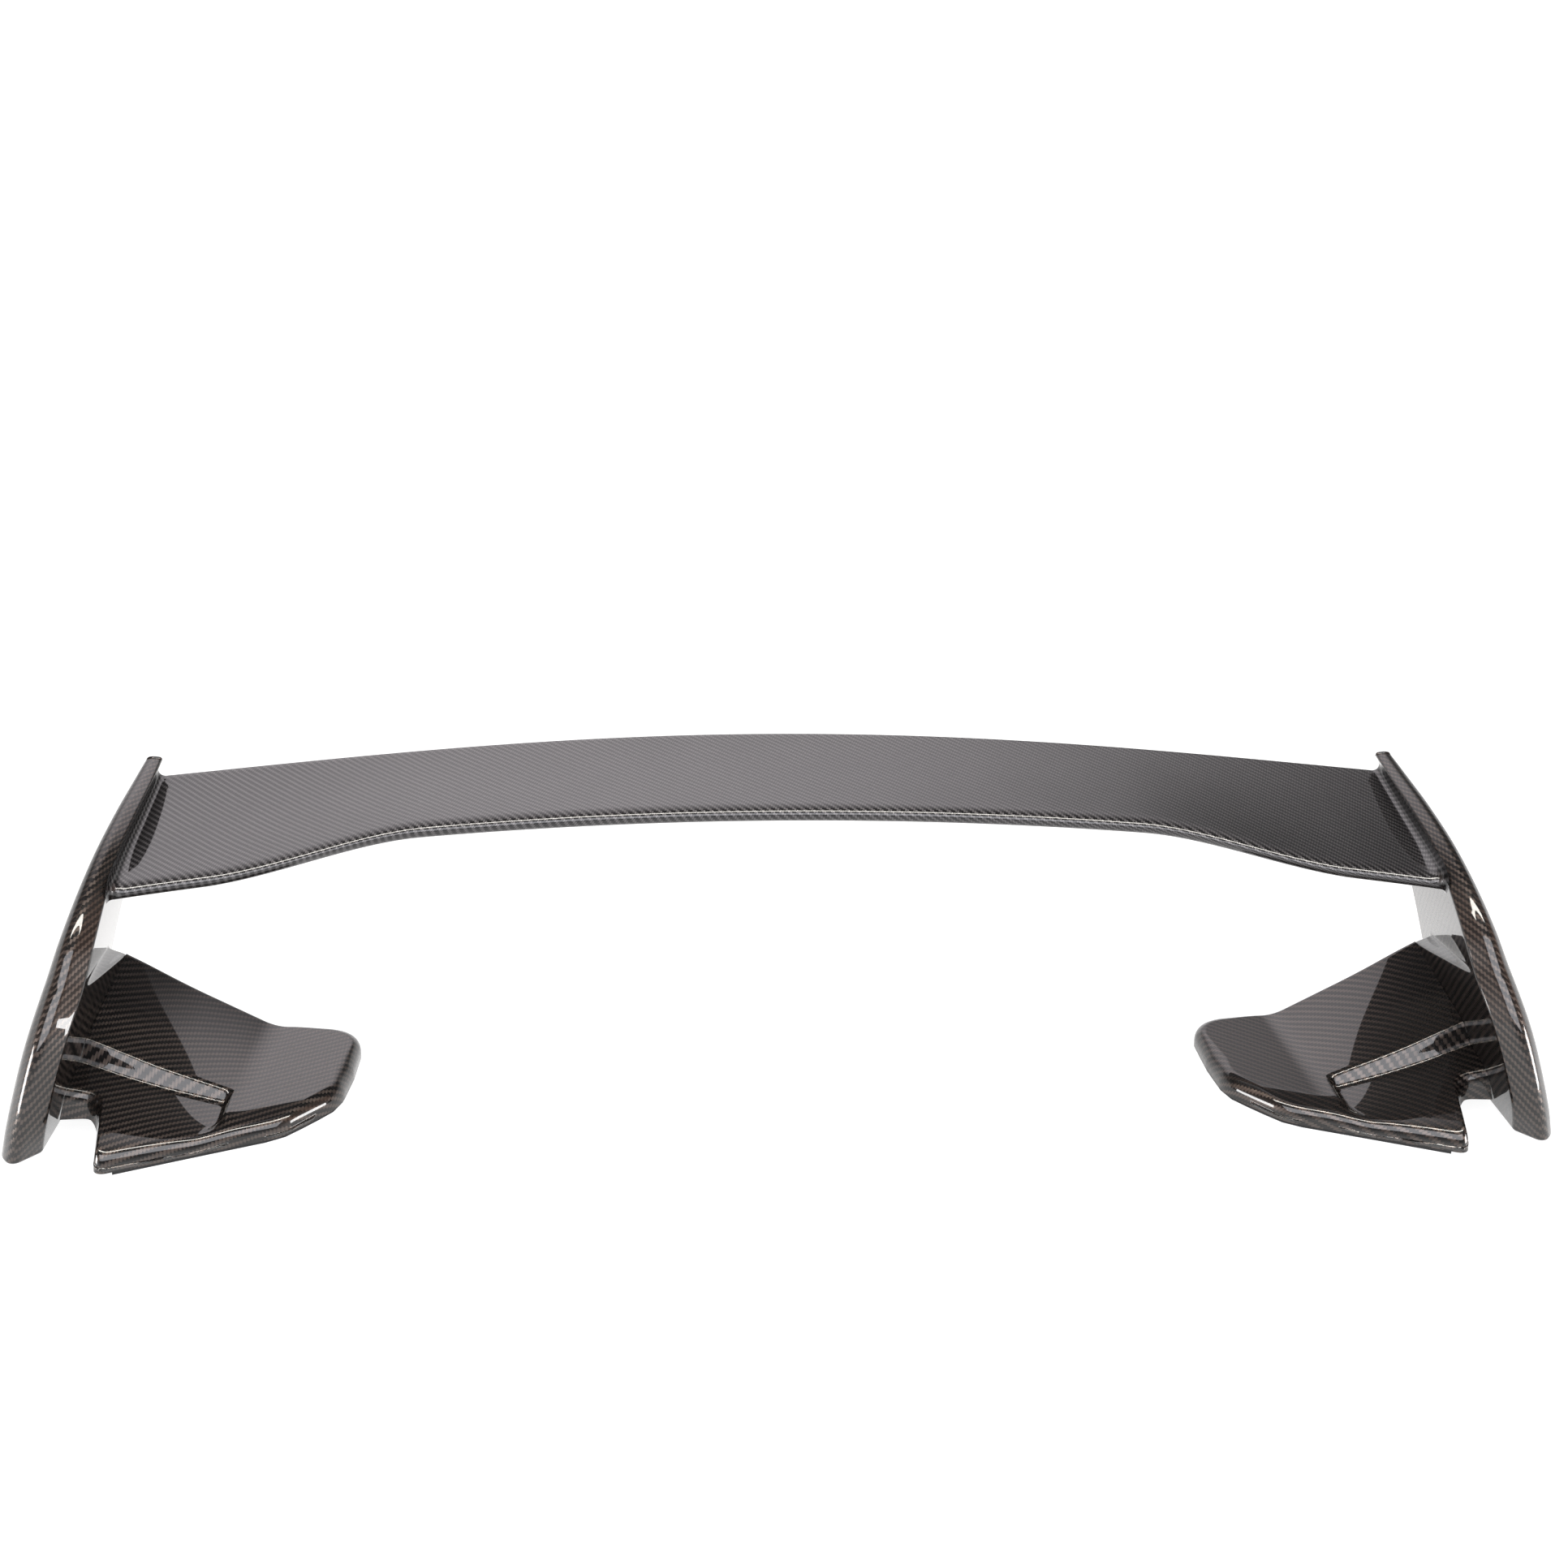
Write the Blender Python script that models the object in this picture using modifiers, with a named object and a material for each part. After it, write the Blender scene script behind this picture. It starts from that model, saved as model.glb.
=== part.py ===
"""Carbon-fibre rear wing: an arched blade between two swept end fins on two bolt-down feet.

Run with:  blender --background --python part.py
Metres, +X to the right, +Y towards the rear of the car, +Z up.  The feet stand on z = 0.
Every piece is drawn with y measured from the front corners of the feet, and an empty carries
the whole wing forward so that the origin is under the middle of its bounding box.
The right half is drawn, and side = -1 turns a point over to the left half.
"""
import math

import bmesh
import bpy
from mathutils import Vector

# ---------------------------------------------------------------- driving dimensions
HALF_SPAN = 0.688          # outer face of a fin, at the height of the ground
DEPTH = 0.372              # front of the feet to the middle of the trailing edge
MIDDLE_Y = 0.18783         # front of the feet to the middle of the wing's bounding box
FIN_LEAN = 0.275           # how far a fin leans inwards for each metre of height
FIN_ROOT_WIDTH = 0.0355    # thickness of the lower part of a fin
SKIN = 0.0018              # thickness of a moulded skin
GAP = 0.0003               # clearance between neighbouring pieces
GASKET = 0.003             # rubber under a foot
PLATE = 0.004              # aluminium base plate in a foot
BRACKET = 0.004            # aluminium angle in a foot

# blade, measured along its middle line
BLADE_EDGE_Y = (0.208, -0.085)             # leading edge: y at the middle, and per x squared
BLADE_EDGE_Z = (0.246, -0.0955)            # leading edge: z at the middle, and per x squared
BLADE_TAIL_Y = (DEPTH, -0.105)             # trailing edge: y at the middle, and per x squared
BLADE_TAIL_Z = (0.2695, -0.1044, 0.0738)   # trailing edge: z, per x squared, per x to the 4th
FLARE = (0.036, 0.0115)                    # the ends run forward and down by this much
FLARE_FROM, FLARE_TO = 0.335, 0.525        # half-span over which they do so
BLADE_HALF_THICKNESS = 0.0082
TAIL_HALF_THICKNESS = 0.0022
TAIL_TAPER = 1.3                           # how late the thickness runs out towards the tail
NOSE_LENGTH = 0.015
CAMBER = 0.016                             # sag of the blade's middle, per unit of chord
SPAR_FRONT, SPAR_REAR = 0.34, 0.40         # place of the spar along the chord
BLADE_HALF_SPAN = 0.600                    # nominal, at the fins
BLADE_END_GAP = 0.0015                     # between the blade and a fin, which an adhesive fills
BLADE_JOINT = 0.20                         # the skins meet under the blade, here along the chord
BLADE_JOINT_GAP = 0.002                    # with this gap, per unit of chord
SPAR_END_GAP = 0.004
BLADE_STEPS = 30                           # sections along the span

# fin sections, from the ground up: front point (y, z), rear point (y, z), width at the front,
# depth of the bevelled front face, depth and width of the outer edge band, width at the rear
FIN_STATIONS = (
    ((0.005, 0.0080), (0.280, 0.0090), 0.0345, 0.024, 0.016, 0.015, 0.010),
    ((0.000, 0.0360), (0.286, 0.0340), 0.0355, 0.019, 0.018, 0.016, 0.010),
    ((0.003, 0.0680), (0.290, 0.0520), 0.0355, 0.019, 0.020, 0.016, 0.010),
    ((0.015, 0.1080), (0.292, 0.0680), 0.0355, 0.021, 0.020, 0.016, 0.010),
    ((0.046, 0.1490), (0.293, 0.0830), 0.0355, 0.022, 0.020, 0.015, 0.010),
    ((0.052, 0.1550), (0.294, 0.0920), 0.0350, 0.022, 0.020, 0.015, 0.010),
    ((0.075, 0.1800), (0.298, 0.1180), 0.0325, 0.020, 0.018, 0.013, 0.010),
    ((0.112, 0.2060), (0.305, 0.1480), 0.0280, 0.016, 0.015, 0.011, 0.010),
    ((0.160, 0.2280), (0.315, 0.1820), 0.0225, 0.011, 0.011, 0.009, 0.010),
    ((0.225, 0.2460), (0.326, 0.2120), 0.0190, 0.007, 0.008, 0.008, 0.010),
    ((0.290, 0.2570), (0.336, 0.2360), 0.0160, 0.005, 0.005, 0.007, 0.010),
    ((0.333, 0.2630), (0.344, 0.2520), 0.0135, 0.003, 0.002, 0.006, 0.010),
)
STUB_TOP = 4               # the thick root of the fin ends at this station
FIN_KNEE, FIN_HEEL = 0.75, 0.2   # the inner face bends here along the chord, and again past there
FIN_SPLIT = 0.35           # where the inner skin starts on the front face, from its inner edge
FIN_OUTER_RADII = (0.0, 0.003, 0.030, 0.009, 0.0)
FIN_INNER_RADII = (0.0, 0.004, 0.003, 0.003, 0.0)
FIN_CAP_TOP = 0.12         # the cap in the fin's bottom ends at this station

# foot: corners (x, y, radius) of the two halves of its outline, from the fin to the inner tip
FOOT_END_X = HALF_SPAN - FIN_ROOT_WIDTH
FOOT_REAR_Y = 0.235
FOOT_TIP = (0.405, 0.160, 0.0)
FOOT_FRONT = ((FOOT_END_X, 0.068, 0.0), (0.619, 0.068, 0.020), (0.601, -0.002, 0.007),
              (0.452, 0.058, 0.050), (0.409, 0.110, 0.050), FOOT_TIP)
FOOT_REAR = ((FOOT_END_X, FOOT_REAR_Y, 0.0), (0.405, FOOT_REAR_Y, 0.045), FOOT_TIP)
FOOT_SPINE = (0.445, 0.150)                # inner end of the line that the top's rings close on
FOOT_PAD_Z = 0.022                         # height of the flat inner pad
FOOT_RAMP_X = 0.489                        # where the ramp starts
FOOT_PEAK_Z = 0.0995                       # height of the ramp where it meets the fin
FOOT_PEAK_FALL = 0.26                      # fall of that edge towards the front
RIM_Z = 0.018                              # height of the front rim
PAD_RIM_SLOPE, LEDGE_RIM_SLOPE = 0.15, 0.5   # slopes behind it, up to the pad and up to the ledge
LEDGE_X = (0.506, 0.640)                   # the ledge's inner end and the fin
LEDGE_INNER_Z = 0.016                      # height of the ledge at its inner end
LEDGE_FIN_Z, LEDGE_FIN_RISE = 0.0284, 0.21 # height at the fin at y = 0, and its rise to the rear
STEP_Y, STEP_SKEW, STEP_WIDTH = 0.1125, 0.099, 0.013
INNER_STEP_WIDTH = 0.008
FOOT_EDGE_RADIUS = 0.005
FOOT_TIP_RADIUS = 0.014                    # the rim is rounder at the inner tip
FOOT_BRIDGE_Z = 0.018                      # underside of the bridge to the fin, behind the notch
FOOT_END_GAP = 0.0012                      # between the foot and the fin
SHEAR_FROM = 0.550                         # from here outwards the foot leans with the fin
FOOT_RINGS = (0.22, 0.45, 0.72, 1.0)       # the top's rings of points, from the rim to the spine
BASE_END_X = 0.598                         # outer end of the base plate and the gasket
BASE_CENTRE = (0.525, 0.150)               # they are drawn in towards this place
GASKET_INSET, PLATE_INSET = 0.0018, 0.0045

INSERT_PLACES = {"inner": (0.452, 0.165), "outer": (0.560, 0.140)}
INSERT_BORE, INSERT_RADIUS, INSERT_HEIGHT = 0.004, 0.008, 0.013
SCREW_PLACES = {"front": (0.144, 0.036), "rear": (0.205, 0.046)}
SCREW_RADIUS, SCREW_HEAD_RADIUS, SCREW_HEAD = 0.004, 0.0075, 0.005
SCREW_DEPTH = 0.016                        # length of thread in the root block
BORE_END = 0.002                           # the blind hole goes on past the screw's end
SHANK_OVERLAP = 0.001                      # the shank starts inside its head
ROOT_BLOCK_Y, ROOT_BLOCK_Z = (0.105, 0.222), (0.026, 0.066)
BRACKET_Y = (0.128, 0.226)
BRACKET_TOP_Z, BRACKET_FOOT_X = 0.062, 0.572
ROUND_SIDES = 16
BORE_CLEARANCE = 0.001                     # the gasket's holes are wider than the bolts' threads
CUT = 0.020                                # a cutter runs this far past the face it starts from

SIDES = {"left": -1, "right": 1}

CARBON = ("carbon", (0.012, 0.012, 0.014), 0.12, 0.0)
CARBON_INNER = ("carbon_inner", (0.030, 0.030, 0.032), 0.55, 0.0)
ALUMINIUM = ("aluminium", (0.62, 0.63, 0.65), 0.35, 1.0)
STEEL = ("steel", (0.45, 0.45, 0.46), 0.30, 1.0)
RUBBER = ("rubber", (0.015, 0.015, 0.015), 0.85, 0.0)


# ---------------------------------------------------------------- small helpers
def clamp(value, low=0.0, high=1.0):
    return max(low, min(high, value))


def mix(a, b, t):
    return a + (b - a) * t


def smoothstep(low, high, value):
    t = clamp((value - low) / (high - low))
    return t * t * (3.0 - 2.0 * t)


def steps(low, high, count):
    """count + 1 values from low to high."""
    return [mix(low, high, i / count) for i in range(count + 1)]


def spline(values, s):
    """A smooth curve through evenly spaced values, read at s (Catmull-Rom)."""
    last = len(values) - 1
    i = min(int(s), last - 1)
    t = s - i
    p0, p1, p2, p3 = (values[clamp(k, 0, last)] for k in (i - 1, i, i + 1, i + 2))
    return 0.5 * (2 * p1 + (p2 - p0) * t + (2 * p0 - 5 * p1 + 4 * p2 - p3) * t ** 2
                  + (3 * p1 - p0 - 3 * p2 + p3) * t ** 3)


def rounded_path(corners, radii, arc_steps):
    """An open path through corners, each inner corner replaced by an arc of its radius."""
    points = [Vector(corners[0])]
    for i in range(1, len(corners) - 1):
        here = Vector(corners[i])
        back = Vector(corners[i - 1]) - here
        ahead = Vector(corners[i + 1]) - here
        half_turn = (math.pi - back.angle(ahead)) / 2.0
        reach = radii[i] * math.tan(half_turn)
        reach = min(reach, 0.45 * back.length, 0.45 * ahead.length)
        start = here + back.normalized() * reach
        end = here + ahead.normalized() * reach
        for k in range(arc_steps + 1):
            t = k / arc_steps
            weight = math.cos(half_turn)
            total = (1 - t) ** 2 + 2 * weight * t * (1 - t) + t ** 2
            points.append((start * (1 - t) ** 2 + here * (2 * weight * t * (1 - t)) + end * t ** 2) / total)
    points.append(Vector(corners[-1]))
    return points


# ---------------------------------------------------------------- objects
def make_material(spec):
    name, colour, roughness, metallic = spec
    material = bpy.data.materials.get(name) or bpy.data.materials.new(name)
    material.use_nodes = True
    shader = material.node_tree.nodes["Principled BSDF"]
    shader.inputs["Base Color"].default_value = (*colour, 1.0)
    shader.inputs["Roughness"].default_value = roughness
    shader.inputs["Metallic"].default_value = metallic
    material.diffuse_color = (*colour, 1.0)
    return material


def new_object(name, mesh, spec, smooth=True):
    """Puts a mesh in the scene as a part, hung from the wing's datum."""
    part_material = make_material((f"{name}_{spec[0]}", *spec[1:]))
    mesh.materials.append(part_material)
    if smooth:
        mesh.shade_smooth()
        mesh.set_sharp_from_angle(angle=math.radians(35))
    obj = bpy.data.objects.new(name, mesh)
    parts.objects.link(obj)
    obj.parent = datum
    return obj


def mesh_from(bm, name):
    bmesh.ops.recalc_face_normals(bm, faces=bm.faces)
    mesh = bpy.data.meshes.new(name)
    bm.to_mesh(mesh)
    bm.free()
    return mesh


def grid_mesh(name, rows, weld=0.0):
    """An open surface through rows of points."""
    bm = bmesh.new()
    lines = [[bm.verts.new(p) for p in row] for row in rows]
    for near, far in zip(lines, lines[1:]):
        for i in range(len(near) - 1):
            bm.faces.new((near[i], near[i + 1], far[i + 1], far[i]))
    if weld:
        bmesh.ops.remove_doubles(bm, verts=bm.verts, dist=weld)
    return mesh_from(bm, name)


def loft_mesh(name, loops):
    """A closed solid through loops of points, with a cap on the first and the last."""
    bm = bmesh.new()
    rings = [[bm.verts.new(p) for p in loop] for loop in loops]
    count = len(rings[0])
    for near, far in zip(rings, rings[1:]):
        for i in range(count):
            j = (i + 1) % count
            bm.faces.new((near[i], near[j], far[j], far[i]))
    bm.faces.new(rings[0])
    bm.faces.new(rings[-1])
    bmesh.ops.triangulate(bm, faces=[f for f in bm.faces if len(f.verts) > 4])
    return mesh_from(bm, name)


def shell(name, rows, spec, inwards, weld=0.0):
    """A moulded skin: an open surface thickened by Solidify towards the point inwards."""
    mesh = grid_mesh(name, rows, weld)
    face = mesh.polygons[len(mesh.polygons) // 2]
    towards = face.normal.dot(Vector(inwards) - face.center)
    obj = new_object(name, mesh, spec)
    solidify = obj.modifiers.new("skin", "SOLIDIFY")
    solidify.thickness = SKIN
    solidify.offset = 1.0 if towards > 0 else -1.0
    solidify.use_even_offset = True
    solidify.use_quality_normals = True
    return obj


def cylinder_mesh(name, radius, start, axis, length):
    """A round bar from start along axis."""
    axis = Vector(axis).normalized()
    bm = bmesh.new()
    bmesh.ops.create_cone(bm, cap_ends=True, segments=ROUND_SIDES, radius1=radius, radius2=radius,
                          depth=length)
    bmesh.ops.rotate(bm, verts=bm.verts, matrix=axis.to_track_quat("Z", "Y").to_matrix())
    bmesh.ops.translate(bm, verts=bm.verts, vec=Vector(start) + axis * (length / 2.0))
    return mesh_from(bm, name)


def combine(obj, name, mesh, operation="DIFFERENCE"):
    """Cuts a mesh out of a part or joins it on, and keeps the tool in its own collection."""
    tool = bpy.data.objects.new(name, mesh)
    cutters.objects.link(tool)
    tool.parent = datum
    tool.hide_render = True
    tool.display_type = "WIRE"
    boolean = obj.modifiers.new(name, "BOOLEAN")
    boolean.operation = operation
    boolean.solver = "EXACT"
    boolean.object = tool


# ---------------------------------------------------------------- fin geometry
def fin_station(s):
    """Front point, rear point and widths of the fin's section at s."""
    columns = list(zip(*FIN_STATIONS))
    front = Vector([spline([p[k] for p in columns[0]], s) for k in (0, 1)])
    rear = Vector([spline([p[k] for p in columns[1]], s) for k in (0, 1)])
    width, bevel, band_depth, band_width, rear_width = (spline(column, s) for column in columns[2:])
    return front, rear, width, bevel, band_depth, band_width, rear_width


def fin_corners(s):
    """Corners of the fin's section: (distance behind the front, distance inside the outer face)."""
    front, rear, width, bevel, band_depth, band_width, rear_width = fin_station(s)
    chord = (rear - front).length
    stub = clamp(STUB_TOP + 1 - s)
    behind_foot = (FOOT_REAR_Y - front.x) / (rear.x - front.x)
    knee = chord * mix(FIN_KNEE, behind_foot, smoothstep(STUB_TOP + 3, STUB_TOP, s))
    heel = knee + FIN_HEEL * (chord - knee)

    def tapered(c):
        return mix(width, rear_width, (c - bevel) / (chord - bevel))

    outer_rear = (chord, 0.0)
    outer_band = (band_depth, 0.0)
    nose = (0.0, band_width)
    inner_edge = (bevel, width)
    inner_knee = (knee, mix(tapered(knee), width, stub))
    inner_heel = (heel, tapered(heel))
    inner_rear = (chord, rear_width)
    return outer_rear, outer_band, nose, inner_edge, inner_knee, inner_heel, inner_rear


def fin_place(s, c, t, side):
    """A point of the fin from its section's own measures."""
    front, rear = fin_station(s)[:2]
    along = front + (rear - front).normalized() * c
    return Vector((side * (HALF_SPAN - FIN_LEAN * along.y - t), along.x, along.y))


def fin_outer_path(s, arc_steps):
    """Rear edge, outer face and most of the front face."""
    outer_rear, outer_band, nose, inner_edge, _, _, inner_rear = fin_corners(s)
    edge = Vector(inner_edge)
    back = Vector(nose) - edge
    end = edge + back * FIN_SPLIT + back.normalized() * GAP
    start = (inner_rear[0], inner_rear[1] - SKIN - GAP)
    return rounded_path((start, outer_rear, outer_band, nose, end), FIN_OUTER_RADII, arc_steps)


def fin_inner_path(s, arc_steps):
    """The rest of the front face, and the inner face with its thick root."""
    _, _, nose, inner_edge, knee, heel, inner_rear = fin_corners(s)
    start = Vector(inner_edge).lerp(Vector(nose), FIN_SPLIT)
    return rounded_path((start, inner_edge, knee, heel, inner_rear), FIN_INNER_RADII, arc_steps)


def fin_cap_path(s):
    """The whole section, drawn in until it is clear of both skins."""
    path = fin_outer_path(s, 2) + fin_inner_path(s, 1)[1:]
    inset = SKIN + 3.0 * GAP
    drawn_in = []
    for i, here in enumerate(path):
        before = here - path[i - 1]
        after = path[(i + 1) % len(path)] - here
        along = (before.normalized() + after.normalized()).normalized()
        drawn_in.append(here + Vector((along.y, -along.x)) * inset)
    return drawn_in


def fin_inner_x(y, z):
    """x of the fin's tapered inner face at a point under or over the blade's end."""
    low, high = STUB_TOP + 1.0, len(FIN_STATIONS) - 1.0
    for _ in range(30):
        s = (low + high) / 2.0
        front, rear = fin_station(s)[:2]
        chord = rear - front
        across = chord.x * (z - front.y) - chord.y * (y - front.x)
        low, high = (s, high) if across > 0 else (low, s)
    width, bevel = fin_station(s)[2:4]
    rear_width = fin_station(s)[6]
    c = (Vector((y, z)) - front).dot(chord.normalized())
    t = mix(width, rear_width, clamp((c - bevel) / (chord.length - bevel)))
    return HALF_SPAN - FIN_LEAN * z - t


# ---------------------------------------------------------------- blade geometry
def blade_chord(x):
    """Leading and trailing edge points (y, z) of the blade at x."""
    flare = smoothstep(FLARE_FROM, FLARE_TO, abs(x))
    lead = Vector((BLADE_EDGE_Y[0] + BLADE_EDGE_Y[1] * x ** 2 - FLARE[0] * flare,
                   BLADE_EDGE_Z[0] + BLADE_EDGE_Z[1] * x ** 2 - FLARE[1] * flare))
    tail = Vector((BLADE_TAIL_Y[0] + BLADE_TAIL_Y[1] * x ** 2,
                   BLADE_TAIL_Z[0] + BLADE_TAIL_Z[1] * x ** 2 + BLADE_TAIL_Z[2] * x ** 4))
    return lead, tail


def blade_half_thickness(t, chord):
    """Half the blade's thickness at t of its chord: a blunt nose, then a long taper."""
    nose = NOSE_LENGTH / chord
    if t < nose:
        return BLADE_HALF_THICKNESS * math.sqrt(max(0.0, 1.0 - (1.0 - t / nose) ** 2))
    rest = (t - nose) / (1.0 - nose)
    return mix(BLADE_HALF_THICKNESS, TAIL_HALF_THICKNESS, rest ** TAIL_TAPER)


def blade_point(x_middle, t, face, inset=0.0):
    """A point of the blade: t runs from nose to tail, face is +1 on top and -1 below."""
    lead, tail = blade_chord(x_middle)
    chord = tail - lead
    across = Vector((-chord.y, chord.x)).normalized()
    height = blade_half_thickness(t, chord.length) - inset
    sag = CAMBER * chord.length * 4.0 * t * (1.0 - t)
    at = lead + chord * t + across * (face * height - sag)
    return at.x, at.y


def blade_place(v, t, face, inset=0.0, end_gap=BLADE_END_GAP):
    """The same point in space: v runs from -1 at the left fin to 1 at the right fin."""
    y, z = blade_point(v * BLADE_HALF_SPAN, t, face, inset)
    return Vector((v * (fin_inner_x(y, z) - end_gap), y, z))


def nose_steps(first, last, count):
    """Chord positions packed closely round the nose."""
    return [t * t for t in steps(math.sqrt(first), math.sqrt(last), count)]


def make_blade_skins():
    top = list(reversed(nose_steps(0.0, 1.0, 9)))
    under_nose = nose_steps(0.0, BLADE_JOINT, 4)[1:]
    upper_rows = []
    lower_rows = []
    for v in steps(-1.0, 1.0, BLADE_STEPS):
        row = [blade_place(v, t, 1) for t in top] + [blade_place(v, t, -1) for t in under_nose]
        upper_rows.append(row)
        lower = steps(BLADE_JOINT + BLADE_JOINT_GAP, 1.0, 4)
        lower_rows.append([blade_place(v, t, -1) for t in lower])
    inside = (0.0, 0.30, 0.2545)
    shell("blade_upper_skin", upper_rows, CARBON, inside)
    shell("blade_lower_skin", lower_rows, CARBON, inside)


def make_blade_spar():
    """A bar that runs inside the blade from end to end, clear of the skins."""
    inset = SKIN + 2.0 * GAP
    corners = ((SPAR_FRONT, 1), (SPAR_REAR, 1), (SPAR_REAR, -1), (SPAR_FRONT, -1))
    loops = []
    for v in steps(-1.0, 1.0, BLADE_STEPS):
        loops.append([blade_place(v, t, face, inset, SPAR_END_GAP) for t, face in corners])
    new_object("blade_spar", loft_mesh("blade_spar", loops), CARBON_INNER, smooth=False)


# ---------------------------------------------------------------- fins
def make_fin(label, side):
    count = len(FIN_STATIONS) - 1
    levels = steps(0.0, count, 2 * count)
    inside = fin_place(4.0, 0.10, 0.012, side)
    for face, section, arc_steps in (("outer", fin_outer_path, 2), ("inner", fin_inner_path, 1)):
        rows = [[fin_place(s, c, t, side) for c, t in section(s, arc_steps)] for s in levels]
        shell(f"fin_{face}_skin_{label}", rows, CARBON, inside)
    loops = [[fin_place(s, c, t, side) for c, t in fin_cap_path(s)] for s in (0.0, FIN_CAP_TOP)]
    name = f"fin_bottom_cap_{label}"
    new_object(name, loft_mesh(name, loops), CARBON, smooth=False)


# ---------------------------------------------------------------- feet
def foot_lean(x):
    """Share of the fin's lean that the foot takes up at x."""
    return smoothstep(SHEAR_FROM, FOOT_END_X, x)


def foot_edge_radius(x):
    return mix(FOOT_TIP_RADIUS, FOOT_EDGE_RADIUS, smoothstep(0.42, 0.48, x))


def foot_bottom(x, y):
    """Lower edge of the foot's wall: on the gasket, and higher behind the notch."""
    bridge = smoothstep(0.606, 0.626, x) * smoothstep(0.12, 0.10, y)
    return mix(GASKET + GAP, FOOT_BRIDGE_Z, bridge)


def foot_height(x, y):
    """Height of the foot's top: pad and ramp behind the step, sunk front ledge before it."""
    corner, next_corner = Vector(FOOT_FRONT[2][:2]), Vector(FOOT_FRONT[3][:2])
    along = (next_corner - corner).normalized()
    from_front = along.y * (x - corner.x) - along.x * (y - corner.y)
    pad = min(FOOT_PAD_Z, RIM_Z + PAD_RIM_SLOPE * from_front)
    peak = FOOT_PEAK_Z - FOOT_PEAK_FALL * (FOOT_REAR_Y - y)
    slope = (peak - FOOT_PAD_Z) / (FOOT_END_X - FIN_LEAN * peak - FOOT_RAMP_X)
    ramp = pad + slope * max(0.0, x - FOOT_RAMP_X) / (1.0 + FIN_LEAN * slope * foot_lean(x))
    outwards = (x - LEDGE_X[0]) / (LEDGE_X[1] - LEDGE_X[0])
    ledge = mix(LEDGE_INNER_Z, LEDGE_FIN_Z + LEDGE_FIN_RISE * y, outwards)
    ledge = min(ledge, RIM_Z + LEDGE_RIM_SLOPE * from_front)
    step = STEP_Y + STEP_SKEW * (x - LEDGE_X[1])
    before = 1.0 - smoothstep(-STEP_WIDTH / 2.0, STEP_WIDTH / 2.0, y - step)
    outside = smoothstep(-INNER_STEP_WIDTH / 2.0, INNER_STEP_WIDTH / 2.0, x - LEDGE_X[0])
    return mix(ramp, ledge, before * outside)


def foot_place(x, y, z, side):
    """A point of the foot, whose outer end leans with the fin."""
    return Vector((side * (x - FIN_LEAN * z * foot_lean(x)), y, z))


def resample(path, count):
    """The same path drawn with count even steps."""
    lengths = [0.0]
    for a, b in zip(path, path[1:]):
        lengths.append(lengths[-1] + (b - a).length)
    points = []
    for target in steps(0.0, lengths[-1], count):
        i = max(k for k in range(len(path) - 1) if lengths[k] <= target + 1e-9)
        span = lengths[i + 1] - lengths[i]
        points.append(path[i].lerp(path[i + 1], clamp((target - lengths[i]) / span)))
    return points


def foot_halves(count=20):
    """The outline from the fin to the inner tip, along the front and along the rear."""
    front = rounded_path([p[:2] for p in FOOT_FRONT], [p[2] for p in FOOT_FRONT], 4)
    rear = rounded_path([p[:2] for p in FOOT_REAR], [p[2] for p in FOOT_REAR], 4)
    return resample(front, count), resample(rear, count)


def foot_outline():
    front, rear = foot_halves()
    return front + rear[-2::-1]


def foot_row(edge, spine):
    """Heights from the bottom of the foot's wall, over its rounded rim, to the spine."""
    inwards = spine - edge
    reach = inwards.length
    inwards.normalize()
    radius = foot_edge_radius(edge.x)
    row = [(edge, foot_bottom(edge.x, edge.y))]
    for angle in (0.0, 45.0, 90.0):
        turn = math.radians(angle)
        at = edge + inwards * radius * (1.0 - math.cos(turn))
        row.append((at, foot_height(at.x, at.y) - radius * (1.0 - math.sin(turn))))
    for f in FOOT_RINGS:
        at = edge + inwards * mix(radius, reach, f)
        row.append((at, foot_height(at.x, at.y)))
    return row


def make_foot_shell(label, side):
    front, rear = foot_halves()
    spines = [Vector((max((a.x + b.x) / 2.0, FOOT_SPINE[0]), FOOT_SPINE[1])) for a, b in zip(front, rear)]
    rows = [foot_row(a, q) for a, q in zip(front, spines)]
    rows += [foot_row(b, q) for b, q in zip(rear[-2::-1], spines[-2::-1])]
    end_x = FOOT_END_X - FOOT_END_GAP
    placed = [[foot_place(min(at.x, end_x), at.y, z, side) for at, z in row] for row in rows]
    return shell(f"foot_shell_{label}", placed, CARBON, (side * 0.55, 0.16, 0.0), weld=0.0001)


def flat_foot_plate(name, side, inset, low, high, spec):
    """A plate with the outline of the foot's flat part, drawn in by inset."""
    centre = Vector(BASE_CENTRE)
    outline = [p for p in foot_outline() if p.x < BASE_END_X]
    outline = [p + (centre - p).normalized() * inset for p in outline]
    loops = [[Vector((side * p.x, p.y, z)) for p in outline] for z in (low, high)]
    return new_object(name, loft_mesh(name, loops), spec, smooth=False)


def make_foot_base(label, side):
    gasket = flat_foot_plate(f"foot_gasket_{label}", side, GASKET_INSET, 0.0, GASKET, RUBBER)
    low = GASKET + GAP
    plate = flat_foot_plate(f"foot_base_plate_{label}", side, PLATE_INSET, low, low + PLATE, ALUMINIUM)
    for place, (x, y) in INSERT_PLACES.items():
        start = (side * x, y, -CUT)
        bore = cylinder_mesh("bore", INSERT_BORE + BORE_CLEARANCE, start, (0, 0, 1), 2.0 * CUT)
        seat = cylinder_mesh("seat", INSERT_RADIUS + GAP, start, (0, 0, 1), 2.0 * CUT)
        combine(gasket, f"cut_gasket_{place}_{label}", bore)
        combine(plate, f"cut_plate_{place}_{label}", seat)
        make_insert(f"mount_insert_{place}_{label}", side * x, y, low)


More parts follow.
